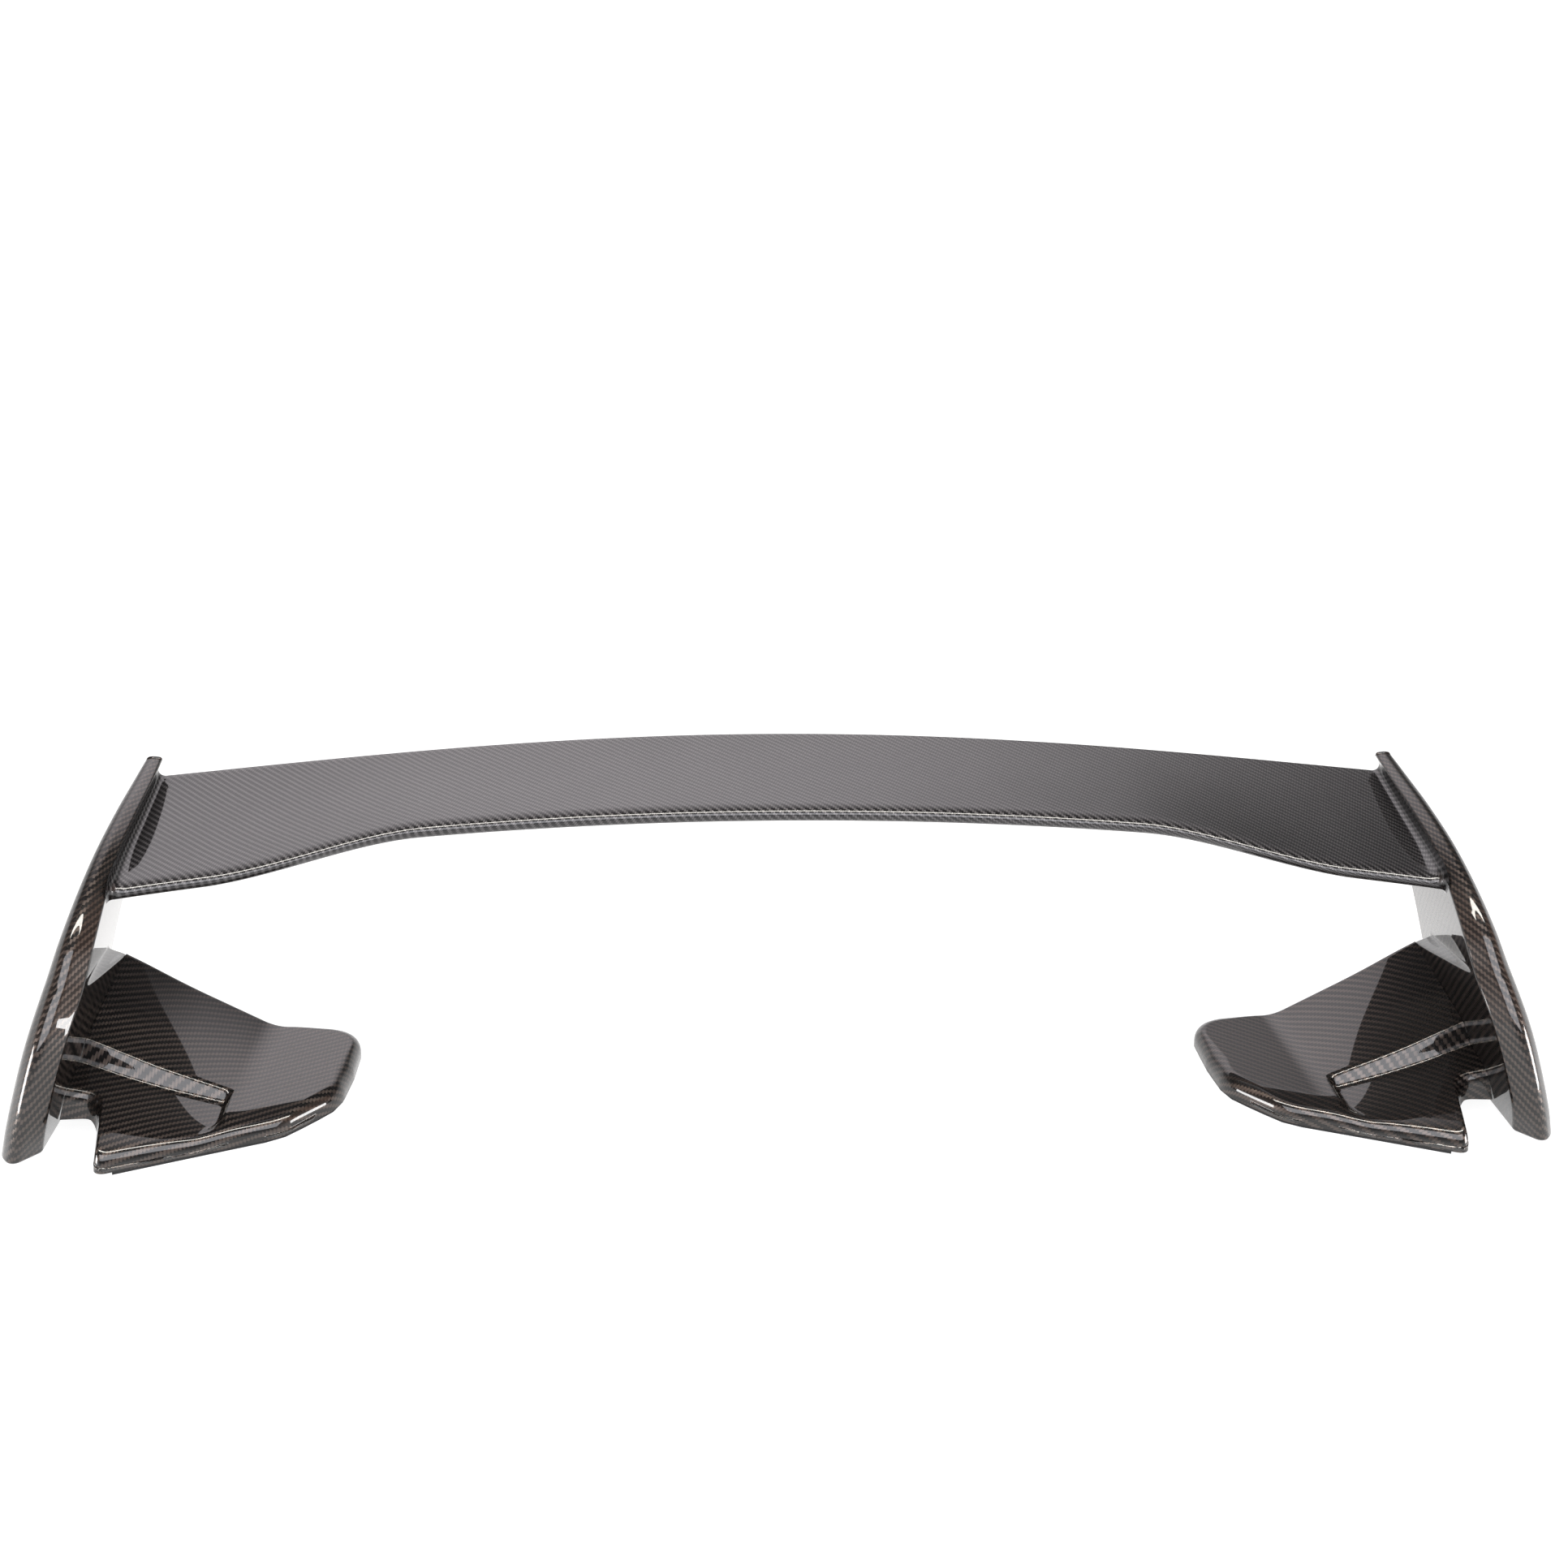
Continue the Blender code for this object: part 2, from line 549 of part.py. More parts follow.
def make_insert(name, x, y, low):
    """A threaded bush: a square profile turned round its axis."""
    profile = ((INSERT_RADIUS, INSERT_HEIGHT), (INSERT_RADIUS, 0.0), (INSERT_BORE, 0.0),
               (INSERT_BORE, INSERT_HEIGHT))
    loops = []
    for radius, z in profile:
        turn = [math.tau * (k + 0.5) / ROUND_SIDES for k in range(ROUND_SIDES)]
        loops.append([Vector((x + radius * math.cos(a), y + radius * math.sin(a), low + z)) for a in turn])
    bm = bmesh.new()
    rings = [[bm.verts.new(p) for p in loop] for loop in loops]
    for near, far in zip(rings, rings[1:] + rings[:1]):
        for i in range(ROUND_SIDES):
            j = (i + 1) % ROUND_SIDES
            bm.faces.new((near[i], near[j], far[j], far[i]))
    new_object(name, mesh_from(bm, name), STEEL)


def root_axis(side):
    """Direction square to the fin's inner face, pointing outwards."""
    return Vector((side, 0.0, FIN_LEAN)).normalized()


def root_face_x(z):
    return FOOT_END_X - FIN_LEAN * z


def make_root_block(label, side):
    """Block bonded inside the fin's root, with a blind thread for each screw."""
    inner = SKIN + 2.0 * GAP
    depth = FIN_ROOT_WIDTH - 2.0 * inner
    low, high = ROOT_BLOCK_Z
    loops = []
    for y in ROOT_BLOCK_Y:
        loop = []
        for z, across in ((low, inner), (low, inner + depth), (high, inner + depth), (high, inner)):
            loop.append(Vector((side * (root_face_x(z) + across), y, z)))
        loops.append(loop)
    name = f"fin_root_block_{label}"
    return new_object(name, loft_mesh(name, loops), ALUMINIUM, smooth=False)


def make_bracket(label, side):
    """Aluminium angle that ties the base plate to the fin's root."""
    low = GASKET + PLATE + 2.0 * GAP
    high = BRACKET_TOP_Z
    leg = BRACKET_FOOT_X
    outer_low, outer_high = root_face_x(low) - GAP, root_face_x(high) - GAP
    profile = ((leg, low), (outer_low, low), (outer_high, high), (outer_high - BRACKET, high),
               (outer_low - BRACKET - FIN_LEAN * BRACKET, low + BRACKET), (leg, low + BRACKET))
    loops = [[Vector((side * x, y, z)) for x, z in profile] for y in BRACKET_Y]
    name = f"foot_bracket_{label}"
    return new_object(name, loft_mesh(name, loops), ALUMINIUM, smooth=False)


def make_root_joint(label, side, inner_skin):
    """Two screws from inside the foot, through bracket and fin skin, into the root block."""
    block = make_root_block(label, side)
    bracket = make_bracket(label, side)
    axis = root_axis(side)
    for place, (y, z) in SCREW_PLACES.items():
        face = Vector((side * root_face_x(z), y, z))
        head_seat = face - axis * (BRACKET + 3.0 * GAP)
        shank = cylinder_mesh("shank", SCREW_RADIUS, head_seat - axis * SHANK_OVERLAP, axis,
                              BRACKET + SKIN + SCREW_DEPTH)
        head = cylinder_mesh("head", SCREW_HEAD_RADIUS, head_seat - axis * SCREW_HEAD, axis, SCREW_HEAD)
        name = f"root_screw_{place}_{label}"
        screw = new_object(name, head, STEEL)
        combine(screw, f"add_shank_{place}_{label}", shank, "UNION")
        through = cylinder_mesh("through", SCREW_RADIUS + GAP, face - axis * CUT, axis,
                                CUT + SKIN + SCREW_DEPTH + BORE_END)
        for piece, what in ((block, "block"), (bracket, "bracket"), (inner_skin, "skin")):
            combine(piece, f"cut_{what}_{place}_{label}", through)


# ---------------------------------------------------------------- the wing
for old in list(bpy.data.objects):
    bpy.data.objects.remove(old, do_unlink=True)

parts = bpy.data.collections.new("rear_wing")
cutters = bpy.data.collections.new("cutters")
bpy.context.scene.collection.children.link(parts)
bpy.context.scene.collection.children.link(cutters)

datum = bpy.data.objects.new("wing_datum", None)
datum.location = (0.0, -MIDDLE_Y, 0.0)
parts.objects.link(datum)

make_blade_skins()
make_blade_spar()
for label, side in SIDES.items():
    make_fin(label, side)
    make_foot_shell(label, side)
    make_foot_base(label, side)
    make_root_joint(label, side, bpy.data.objects[f"fin_inner_skin_{label}"])
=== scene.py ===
"""Looks of the carbon rear wing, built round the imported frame.

The blade, the fins and the feet are drawn again as fine surfaces from the design's own formulas, with
UV coordinates in metres for the weave.  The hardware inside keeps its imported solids.
"""
import math

import bmesh
import bpy
from mathutils import Matrix, Vector

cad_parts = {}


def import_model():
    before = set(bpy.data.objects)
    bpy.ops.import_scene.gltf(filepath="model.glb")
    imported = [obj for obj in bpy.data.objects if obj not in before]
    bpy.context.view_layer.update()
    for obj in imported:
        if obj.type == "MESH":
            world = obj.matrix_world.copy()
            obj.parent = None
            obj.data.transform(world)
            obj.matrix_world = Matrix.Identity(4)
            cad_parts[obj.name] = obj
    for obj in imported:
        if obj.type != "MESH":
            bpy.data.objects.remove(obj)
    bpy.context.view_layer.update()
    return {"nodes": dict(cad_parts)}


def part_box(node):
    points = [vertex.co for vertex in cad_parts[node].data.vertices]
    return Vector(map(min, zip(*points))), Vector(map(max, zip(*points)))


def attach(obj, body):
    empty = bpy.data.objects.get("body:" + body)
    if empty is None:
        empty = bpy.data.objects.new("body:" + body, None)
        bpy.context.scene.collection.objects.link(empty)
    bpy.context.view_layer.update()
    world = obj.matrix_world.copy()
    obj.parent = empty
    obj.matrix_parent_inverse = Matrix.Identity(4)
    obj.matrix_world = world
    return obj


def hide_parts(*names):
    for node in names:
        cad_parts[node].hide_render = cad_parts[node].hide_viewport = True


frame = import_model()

# ---------------------------------------------------------------- the frame's own measures
SIDES = {"left": -1, "right": 1}
ROOT_BLOCK_Y = 0.105       # front of the block in a fin's root, behind the feet's front corners
FRONT_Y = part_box("fin_root_block_right")[0].y - ROOT_BLOCK_Y   # world y of those corners
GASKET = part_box("foot_gasket_right")[1].z                      # top of the rubber under a foot

HALF_SPAN = 0.688          # outer face of a fin, at the height of the ground
DEPTH = 0.372              # front of the feet to the middle of the trailing edge
FIN_LEAN = 0.275           # how far a fin leans inwards for each metre of height
FIN_ROOT_WIDTH = 0.0355    # thickness of the lower part of a fin
SKIN = 0.0018              # thickness of a moulded skin
GAP = 0.0003               # clearance between neighbouring pieces
WELD = 0.00002             # points nearer than this are one point

# ---------------------------------------------------------------- blade, along its middle line
BLADE_EDGE_Y = (0.208, -0.085)             # leading edge: y at the middle, and per x squared
BLADE_EDGE_Z = (0.246, -0.0955)            # leading edge: z at the middle, and per x squared
BLADE_TAIL_Y = (DEPTH, -0.105)             # trailing edge: y at the middle, and per x squared
BLADE_TAIL_Z = (0.2695, -0.1044, 0.0738)   # trailing edge: z, per x squared, per x to the 4th
FLARE = (0.036, 0.0115)                    # the ends run forward and down by this much
FLARE_FROM, FLARE_TO = 0.335, 0.525        # half-span over which they do so
BLADE_HALF_THICKNESS = 0.0082
TAIL_HALF_THICKNESS = 0.0022
TAIL_TAPER = 1.3                           # how late the thickness runs out towards the tail
NOSE_LENGTH = 0.015
CAMBER = 0.016                             # sag of the blade's middle, per unit of chord
BLADE_HALF_SPAN = 0.600                    # nominal, at the fins
BLADE_STEPS = 180                          # strips along the span
BLADE_TOP_POINTS = 34                      # points from the tail to the start of the nose
BLADE_NOSE_POINTS = 14                     # steps from there round to the leading edge
BLADE_TAIL_RINGS = 6                       # steps round the trailing edge
BLADE_NOSE_INDEX = BLADE_TOP_POINTS + BLADE_NOSE_POINTS
BLADE_TOP_INDEX = 20                       # a point of the section that lies well on the upper face
FILLET_TOP, FILLET_UNDER = (0.013, 0.010), 0.006   # radii at the fins: top at nose and tail, underside
FILLET_STEPS = 10

# ---------------------------------------------------------------- fin
# its sections, from the ground up: front point (y, z), rear point (y, z), width at the front,
# depth of the bevelled front face, depth and width of the outer edge band, width at the rear
FIN_STATIONS = (
    ((0.005, 0.0080), (0.280, 0.0090), 0.0345, 0.024, 0.016, 0.015, 0.010),
    ((0.000, 0.0360), (0.286, 0.0340), 0.0355, 0.019, 0.018, 0.016, 0.010),
    ((0.003, 0.0680), (0.290, 0.0520), 0.0355, 0.019, 0.020, 0.016, 0.010),
    ((0.015, 0.1080), (0.292, 0.0680), 0.0355, 0.021, 0.020, 0.016, 0.010),
    ((0.046, 0.1490), (0.293, 0.0830), 0.0355, 0.022, 0.020, 0.015, 0.010),
    ((0.052, 0.1550), (0.294, 0.0920), 0.0350, 0.022, 0.020, 0.015, 0.010),
    ((0.075, 0.1800), (0.298, 0.1180), 0.0325, 0.020, 0.018, 0.013, 0.010),
    ((0.112, 0.2060), (0.305, 0.1480), 0.0280, 0.016, 0.015, 0.011, 0.010),
    ((0.160, 0.2280), (0.315, 0.1820), 0.0225, 0.011, 0.011, 0.009, 0.010),
    ((0.225, 0.2460), (0.326, 0.2120), 0.0205, 0.007, 0.008, 0.008, 0.010),
    ((0.290, 0.2570), (0.336, 0.2360), 0.0185, 0.005, 0.005, 0.008, 0.011),
    ((0.333, 0.2630), (0.344, 0.2520), 0.0165, 0.003, 0.002, 0.007, 0.012),
)
STUB_TOP = 4               # the thick root of the fin ends at this station
FIN_KNEE, FIN_HEEL = 0.75, 0.2   # the inner face bends here along the chord, and again past there
FIN_RADII = {"rear": 0.003, "band": 0.030, "nose": 0.009, "edge": 0.005, "knee": 0.004, "heel": 0.004}
FIN_ARC = 8                # steps round each corner of a section, and along the run before it:
FIN_RUNS = {"outer_rear": 1, "band": 30, "nose": 3, "edge": 5, "knee": 26, "heel": 4, "inner_rear": 10}
FIN_LEVELS = 12            # about this many sections from one station to the next
HALVINGS = 24              # of the search for the section at a given point
FIN_BOTTOM = 0.17          # the lowest section, as a station
FIN_BOTTOM_RADIUS, FIN_BOTTOM_RINGS = 0.0045, 7   # its rounded edge
FIN_TOP_RADIUS, FIN_TOP_RINGS = 0.0025, 6

# ---------------------------------------------------------------- foot
# corners (x, y, radius) of the two halves of its outline, from the fin to the inner tip
FOOT_END_X = HALF_SPAN - FIN_ROOT_WIDTH
FOOT_REAR_Y = 0.235
FOOT_TIP = (0.405, 0.160, 0.0)
FOOT_FRONT = ((FOOT_END_X, 0.068, 0.0), (0.617, 0.070, 0.030), (0.601, -0.002, 0.009),
              (0.452, 0.058, 0.050), (0.409, 0.110, 0.050), FOOT_TIP)
FOOT_REAR = ((FOOT_END_X, FOOT_REAR_Y, 0.0), (0.405, FOOT_REAR_Y, 0.045), FOOT_TIP)
FOOT_SPINE = (0.445, 0.150)                # inner end of the line that the top's rows close on
FOOT_PAD_Z = 0.022                         # height of the flat inner pad
FOOT_RAMP_X, FOOT_RAMP_SKEW = 0.489, 0.04  # where the ramp starts at the rear, and its slant outwards
RAMP_EASE = 0.012                          # half the length of the curve between pad and ramp
FOOT_PEAK_Z = 0.0995                       # height of the ramp where it meets the fin
FOOT_PEAK_FALL = 0.26                      # fall of that edge towards the front
RIM_Z = 0.018                              # height of the front rim
PAD_RIM_SLOPE, LEDGE_RIM_SLOPE = 0.15, 0.5   # slopes behind it, up to the pad and up to the ledge
PAD_BLEND, LEDGE_BLEND = 0.0004, 0.006     # rounding where those slopes end
LEDGE_X = (0.506, 0.640)                   # the ledge's inner end and the fin
LEDGE_INNER_Z = 0.016                      # height of the ledge at its inner end
LEDGE_FIN_Z, LEDGE_FIN_RISE = 0.0284, 0.21 # height at the fin at y = 0, and its rise to the rear
STEP_Y, STEP_SKEW, STEP_WIDTH = 0.1125, 0.099, 0.013   # the step at the fin, its slant, its width
INNER_STEP_WIDTHS = (0.040, 0.008)         # at the front rim, where it runs out, and behind
INNER_STEP_FADE = (0.006, 0.026)           # distances from the rim between which it does so
FOOT_EDGE_RADII = (0.010, 0.005)           # of the rim at the front and at the rear
FOOT_EDGE_CHANGE_Y = (0.11, 0.20)          # y between which one becomes the other
FOOT_TIP_RADIUS = 0.014                    # the rim is rounder at the inner tip
FOOT_TIP_X = (0.42, 0.48)                  # x between which it changes to the radii above
FOOT_BRIDGE_Z = 0.018                      # underside of the bridge to the fin, behind the notch
FOOT_BRIDGE_X, FOOT_BRIDGE_Y = (0.606, 0.626), (0.12, 0.10)   # over which the wall's foot lifts to it
SHEAR_FROM = 0.550                         # from here outwards the foot leans with the fin
FOOT_ROWS = 130                            # rows along each half of the outline
FOOT_COLUMNS = 64                          # points from the rim to the spine
FOOT_ARC = 10                              # steps round each corner of the outline
FOOT_WALL_STEPS, FOOT_EDGE_STEPS = 4, 8
THINNEST_WALL = 0.0005

# ---------------------------------------------------------------- weave
BLADE_TOW, FIN_TOW = 0.0020, 0.0025   # widths of the carbon tows in the two cloths
FOOT_WEAVE_TURN = {"left": -15.0, "right": 93.0}   # degrees that the cloth is turned on a foot
# tow colours: the warp's lighter colour is a painted sheen and the weft's darker one painted shade, as if
# light caught only one fibre direction
BLADE_WARP_SHEEN, BLADE_WEFT_UNLIT = (0.085, 0.080, 0.082), (0.018, 0.017, 0.018)
FIN_WARP_SHEEN, FIN_WEFT_UNLIT = (0.068, 0.053, 0.046), (0.012, 0.011, 0.011)
BETWEEN_TOWS = (0.004, 0.004, 0.0045)       # colour of the resin between the tows, and of the painted shade in their dips
TOW_RELIEF = 0.0003
FLOAT_ROUNDING, TOW_ROUNDING = 0.5, 0.35    # powers that flatten a float's hump along and across it
DRIFT, DRIFT_SCALE = 1.2, 9.0               # how many tows the cloth wanders, and how often per metre
CLOUD_SCALE = 14.0                          # soft dark and light patches per metre
FIBRES, FIBRE_STRETCH, ROW_OFFSET = 14.0, 0.8, 17.0   # fibre streaks: across a tow, along it, between tows


# ---------------------------------------------------------------- small helpers
def clamp(value, low=0.0, high=1.0):
    return max(low, min(high, value))


def mix(a, b, t):
    return a + (b - a) * t


def smoothstep(low, high, value):
    t = clamp((value - low) / (high - low))
    return t * t * (3.0 - 2.0 * t)


def soft_min(a, b, blend):
    """The lesser of a and b, rounded off where they cross."""
    return (a + b - math.sqrt((a - b) ** 2 + blend ** 2)) / 2.0


def steps(low, high, count):
    """count + 1 values from low to high."""
    return [mix(low, high, i / count) for i in range(count + 1)]


def spline(values, spacing, s):
    """A smooth curve through values that lie spacing apart, read at s (whole numbers are the values)."""
    last = len(values) - 1

    def slope(k):
        """Rise of the curve at a value, from its neighbours."""
        before = (values[k] - values[k - 1]) / spacing[k - 1] if k else None
        after = (values[k + 1] - values[k]) / spacing[k] if k < last else None
        if before is None or after is None:
            return after if before is None else before
        return (before * spacing[k] + after * spacing[k - 1]) / (spacing[k] + spacing[k - 1])

    i = min(int(s), last - 1)
    t = s - i
    rise = slope(i) * t * (1 - t) ** 2 - slope(i + 1) * t ** 2 * (1 - t)
    return values[i] * (1 + 2 * t) * (1 - t) ** 2 + values[i + 1] * t ** 2 * (3 - 2 * t) + rise * spacing[i]


def rounded_path(corners, radii, arc_steps, runs=None):
    """An open path through corners with an arc at each inner corner, and runs[i] steps to corner i."""
    runs = runs or [1] * len(corners)
    points = [Vector(corners[0])]

    def walk_to(target, count):
        start = points[-1].copy()
        for k in range(1, count + 1):
            points.append(start.lerp(target, k / count))

    for i in range(1, len(corners) - 1):
        here = Vector(corners[i])
        back = Vector(corners[i - 1]) - here
        ahead = Vector(corners[i + 1]) - here
        half_turn = (math.pi - back.angle(ahead)) / 2.0
        reach = min(radii[i] * math.tan(half_turn), 0.45 * back.length, 0.45 * ahead.length)
        start = here + back.normalized() * reach
        end = here + ahead.normalized() * reach
        walk_to(start, runs[i])
        weight = math.cos(half_turn)
        for k in range(1, arc_steps + 1):
            t = k / arc_steps
            total = (1 - t) ** 2 + 2 * weight * t * (1 - t) + t ** 2
            points.append((start * (1 - t) ** 2 + here * (2 * weight * t * (1 - t)) + end * t ** 2) / total)
    walk_to(Vector(corners[-1]), runs[-1])
    return points


def world(x, y, z):
    """A point in the frame's own axes from a y that is measured from the feet's front corners."""
    return Vector((x, y + FRONT_Y, z))


def lengths_along(points):
    """Distance along a path at each of its points."""
    total = 0.0
    found = [0.0]
    for a, b in zip(points, points[1:]):
        total += (b - a).length
        found.append(total)
    return found


# ---------------------------------------------------------------- surfaces
class Surface:
    """Collects sheets of quads with their UVs into one welded, smooth piece."""

    def __init__(self):
        self.bm = bmesh.new()
        self.uv = self.bm.loops.layers.uv.new("weave")

    def sheet(self, points, uvs):
        """points and uvs are rows of equal length."""
        rows = [[self.bm.verts.new(p) for p in row] for row in points]
        for r in range(len(rows) - 1):
            for c in range(len(rows[r]) - 1):
                corners = ((r, c), (r, c + 1), (r + 1, c + 1), (r + 1, c))
                face = self.bm.faces.new([rows[i][j] for i, j in corners])
                for loop, (i, j) in zip(face.loops, corners):
                    loop[self.uv].uv = uvs[i][j]

    def finish(self, name):
        bmesh.ops.remove_doubles(self.bm, verts=self.bm.verts, dist=WELD)
        bmesh.ops.dissolve_degenerate(self.bm, edges=self.bm.edges, dist=WELD / 2.0)
        bmesh.ops.recalc_face_normals(self.bm, faces=self.bm.faces)
        for edge in self.bm.edges:
            edge.smooth = not edge.is_boundary
        mesh = bpy.data.meshes.new(name)
        self.bm.to_mesh(mesh)
        self.bm.free()
        for face in mesh.polygons:
            face.use_smooth = True
        obj = bpy.data.objects.new(name, mesh)
        bpy.context.scene.collection.objects.link(obj)
        return obj


def stand_in(obj, slot, material, *nodes):
    """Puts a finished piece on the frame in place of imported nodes."""
    obj.data.materials.append(material)
    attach(obj, "root")
    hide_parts(*nodes)


# ---------------------------------------------------------------- fin geometry
FIN_COLUMNS = list(zip(*FIN_STATIONS))
FIN_SPACING = [(Vector(b) - Vector(a)).length for a, b in zip(FIN_COLUMNS[0], FIN_COLUMNS[0][1:])]


def fin_station(s):
    """Front point, rear point and widths of the fin's section at s."""
    front, rear = (Vector([spline([p[k] for p in column], FIN_SPACING, s) for k in (0, 1)])
                   for column in FIN_COLUMNS[:2])
    return front, rear, *(spline(column, FIN_SPACING, s) for column in FIN_COLUMNS[2:])


def fin_corners(s, station):
    """Corners of the fin's section: (distance behind the front, distance inside the outer face)."""
    front, rear, width, bevel, band_depth, band_width, rear_width = station
    chord = (rear - front).length
    stub = 1.0 - smoothstep(STUB_TOP, STUB_TOP + 1, s)
    behind_foot = (FOOT_REAR_Y - front.x) / (rear.x - front.x)
    knee = chord * mix(FIN_KNEE, behind_foot, smoothstep(STUB_TOP + 3, STUB_TOP, s))
    heel = knee + FIN_HEEL * (chord - knee)

    def tapered(c):
        return mix(width, rear_width, (c - bevel) / (chord - bevel))

    return {
        "outer_rear": (chord, 0.0), "band": (band_depth, 0.0), "nose": (0.0, band_width),
        "edge": (bevel, width), "knee": (knee, mix(tapered(knee), width, stub)),
        "heel": (heel, tapered(heel)), "inner_rear": (chord, rear_width),
    }


def fin_path(s, station):
    """The whole section from the middle of the rear edge, round the front, and back to it."""
    at = fin_corners(s, station)
    middle_rear = (at["outer_rear"][0], at["inner_rear"][1] / 2.0)
    corners = (middle_rear, *(at[corner] for corner in FIN_RUNS), middle_rear)
    radii = (0.0, *(FIN_RADII.get(corner, FIN_RADII["rear"]) for corner in FIN_RUNS), 0.0)
    return rounded_path(corners, radii, FIN_ARC, (0, *FIN_RUNS.values(), 1))


FIN_BAND_INDEX = FIN_RUNS["outer_rear"] + FIN_ARC + FIN_RUNS["band"]          # start of the band's arc
FIN_NOSE_INDEX = FIN_BAND_INDEX + FIN_ARC + FIN_RUNS["nose"] + FIN_ARC // 2   # middle of the nose's arc
FIN_EDGE_INDEX = FIN_NOSE_INDEX + FIN_ARC + FIN_RUNS["edge"]                  # middle of the inner edge's


def drawn_in(path, inset):
    """A closed section moved inwards by inset."""
    ring = path[:-1]
    moved = []
    for i, here in enumerate(ring):
        along = (here - ring[i - 1]).normalized() + (ring[(i + 1) % len(ring)] - here).normalized()
        along.normalize()
        moved.append(here + Vector((along.y, -along.x)) * inset)
    return moved + moved[:1]


def fin_point(station, c, t, side, drop):
    """The point c behind the front and t inside the outer face of a section, let down by drop."""
    front, rear = station[:2]
    along = front + (rear - front).normalized() * c
    z = along.y - drop
    return world(side * (HALF_SPAN - FIN_LEAN * z - t), along.x, z)


def fin_inner_x(y, z):
    """x of the fin's tapered inner face at a point under or over the blade's end."""
    low, high = STUB_TOP + 1.0, len(FIN_STATIONS) - 1.0
    for _ in range(HALVINGS):
        s = (low + high) / 2.0
        front, rear = fin_station(s)[:2]
        chord = rear - front
        across = chord.x * (z - front.y) - chord.y * (y - front.x)
        low, high = (s, high) if across > 0 else (low, s)
    front, rear, width, bevel, _, _, rear_width = fin_station(s)
    chord = rear - front
    c = (Vector((y, z)) - front).dot(chord.normalized())
    t = mix(width, rear_width, clamp((c - bevel) / (chord.length - bevel)))
    return HALF_SPAN - FIN_LEAN * z - t


def fin_levels():
    """(station value, inset, drop) of each section: a rounded bottom, the sections, a rounded top."""
    last = len(FIN_STATIONS) - 1

    def ring(station, radius, turn):
        return station, radius * (1.0 - math.cos(turn)), -radius * math.sin(turn)

    quarter = math.radians(90.0)
    levels = [ring(FIN_BOTTOM, FIN_BOTTOM_RADIUS, -quarter * (1.0 - k / FIN_BOTTOM_RINGS))
              for k in range(FIN_BOTTOM_RINGS)]
    levels += [(s, 0.0, 0.0) for s in steps(FIN_BOTTOM, last, last * FIN_LEVELS)]
    levels += [ring(last, FIN_TOP_RADIUS, quarter * k / FIN_TOP_RINGS) for k in range(1, FIN_TOP_RINGS)]
    return levels


def close_end(surface, row, uvs):
    """Fills the last ring of a fin from its outer half to its inner half."""
    half = len(row) // 2
    count = min(half, len(row) - 1 - half)
    strip = [[row[i], row[len(row) - 1 - i]] for i in range(count + 1)]
    coords = [[uvs[i], uvs[len(row) - 1 - i]] for i in range(count + 1)]
    surface.sheet(strip, coords)


def make_fin(label, side, material):
    surface = Surface()
    rows = []
    fronts = []
    for s, inset, drop in fin_levels():
        station = fin_station(s)
        path = fin_path(s, station)
        if inset:
            path = drawn_in(path, inset)
        rows.append([fin_point(station, p.x, p.y, side, drop) for p in path])
        fronts.append(rows[-1][FIN_NOSE_INDEX])
    climb = lengths_along(fronts)
    slant = math.sqrt(1.0 + FIN_LEAN ** 2)
    arcs = [lengths_along(row) for row in rows]

    def face_uv(i, j):
        """The side faces lie flat on the cloth, which then folds round the outer band."""
        across = rows[i][j].y
        if FIN_BAND_INDEX < j <= FIN_NOSE_INDEX:
            across = rows[i][FIN_BAND_INDEX].y - (arcs[i][j] - arcs[i][FIN_BAND_INDEX])
        return -across, rows[i][j].z * slant

    def front_uv(i, j):
        return arcs[i][j] - arcs[i][FIN_NOSE_INDEX], climb[i]

    bounds = ((0, FIN_NOSE_INDEX, face_uv), (FIN_NOSE_INDEX, FIN_EDGE_INDEX, front_uv),
              (FIN_EDGE_INDEX, len(rows[0]) - 1, face_uv))
    for first, last, uv_of in bounds:
        points = [row[first:last + 1] for row in rows]
        uvs = [[uv_of(i, j) for j in range(first, last + 1)] for i in range(len(rows))]
        surface.sheet(points, uvs)
    for end in (0, len(rows) - 1):
        flat = [(p.y * side, (p.x * side + p.z) * slant) for p in rows[end]]
        close_end(surface, rows[end], flat)
    nodes = [f"fin_{part}_{label}" for part in ("outer_skin", "inner_skin", "bottom_cap")]
    stand_in(surface.finish(f"fin_{label}"), "carbon", material, *nodes)


# ---------------------------------------------------------------- blade geometry
def blade_chord(x):
    """Leading and trailing edge points (y, z) of the blade at x."""
    flare = smoothstep(FLARE_FROM, FLARE_TO, abs(x))
    lead = Vector((BLADE_EDGE_Y[0] + BLADE_EDGE_Y[1] * x ** 2 - FLARE[0] * flare,
                   BLADE_EDGE_Z[0] + BLADE_EDGE_Z[1] * x ** 2 - FLARE[1] * flare))
    tail = Vector((BLADE_TAIL_Y[0] + BLADE_TAIL_Y[1] * x ** 2,
                   BLADE_TAIL_Z[0] + BLADE_TAIL_Z[1] * x ** 2 + BLADE_TAIL_Z[2] * x ** 4))
    return lead, tail


def blade_half_thickness(t, chord):
    """Half the blade's thickness at t of its chord, round at the nose and thin at the tail."""
    nose = NOSE_LENGTH / chord
    if t < nose:
        return BLADE_HALF_THICKNESS * math.sqrt(max(0.0, 1.0 - (1.0 - t / nose) ** 2))
    rest = (t - nose) / (1.0 - nose)
    return mix(BLADE_HALF_THICKNESS, TAIL_HALF_THICKNESS, rest ** TAIL_TAPER)


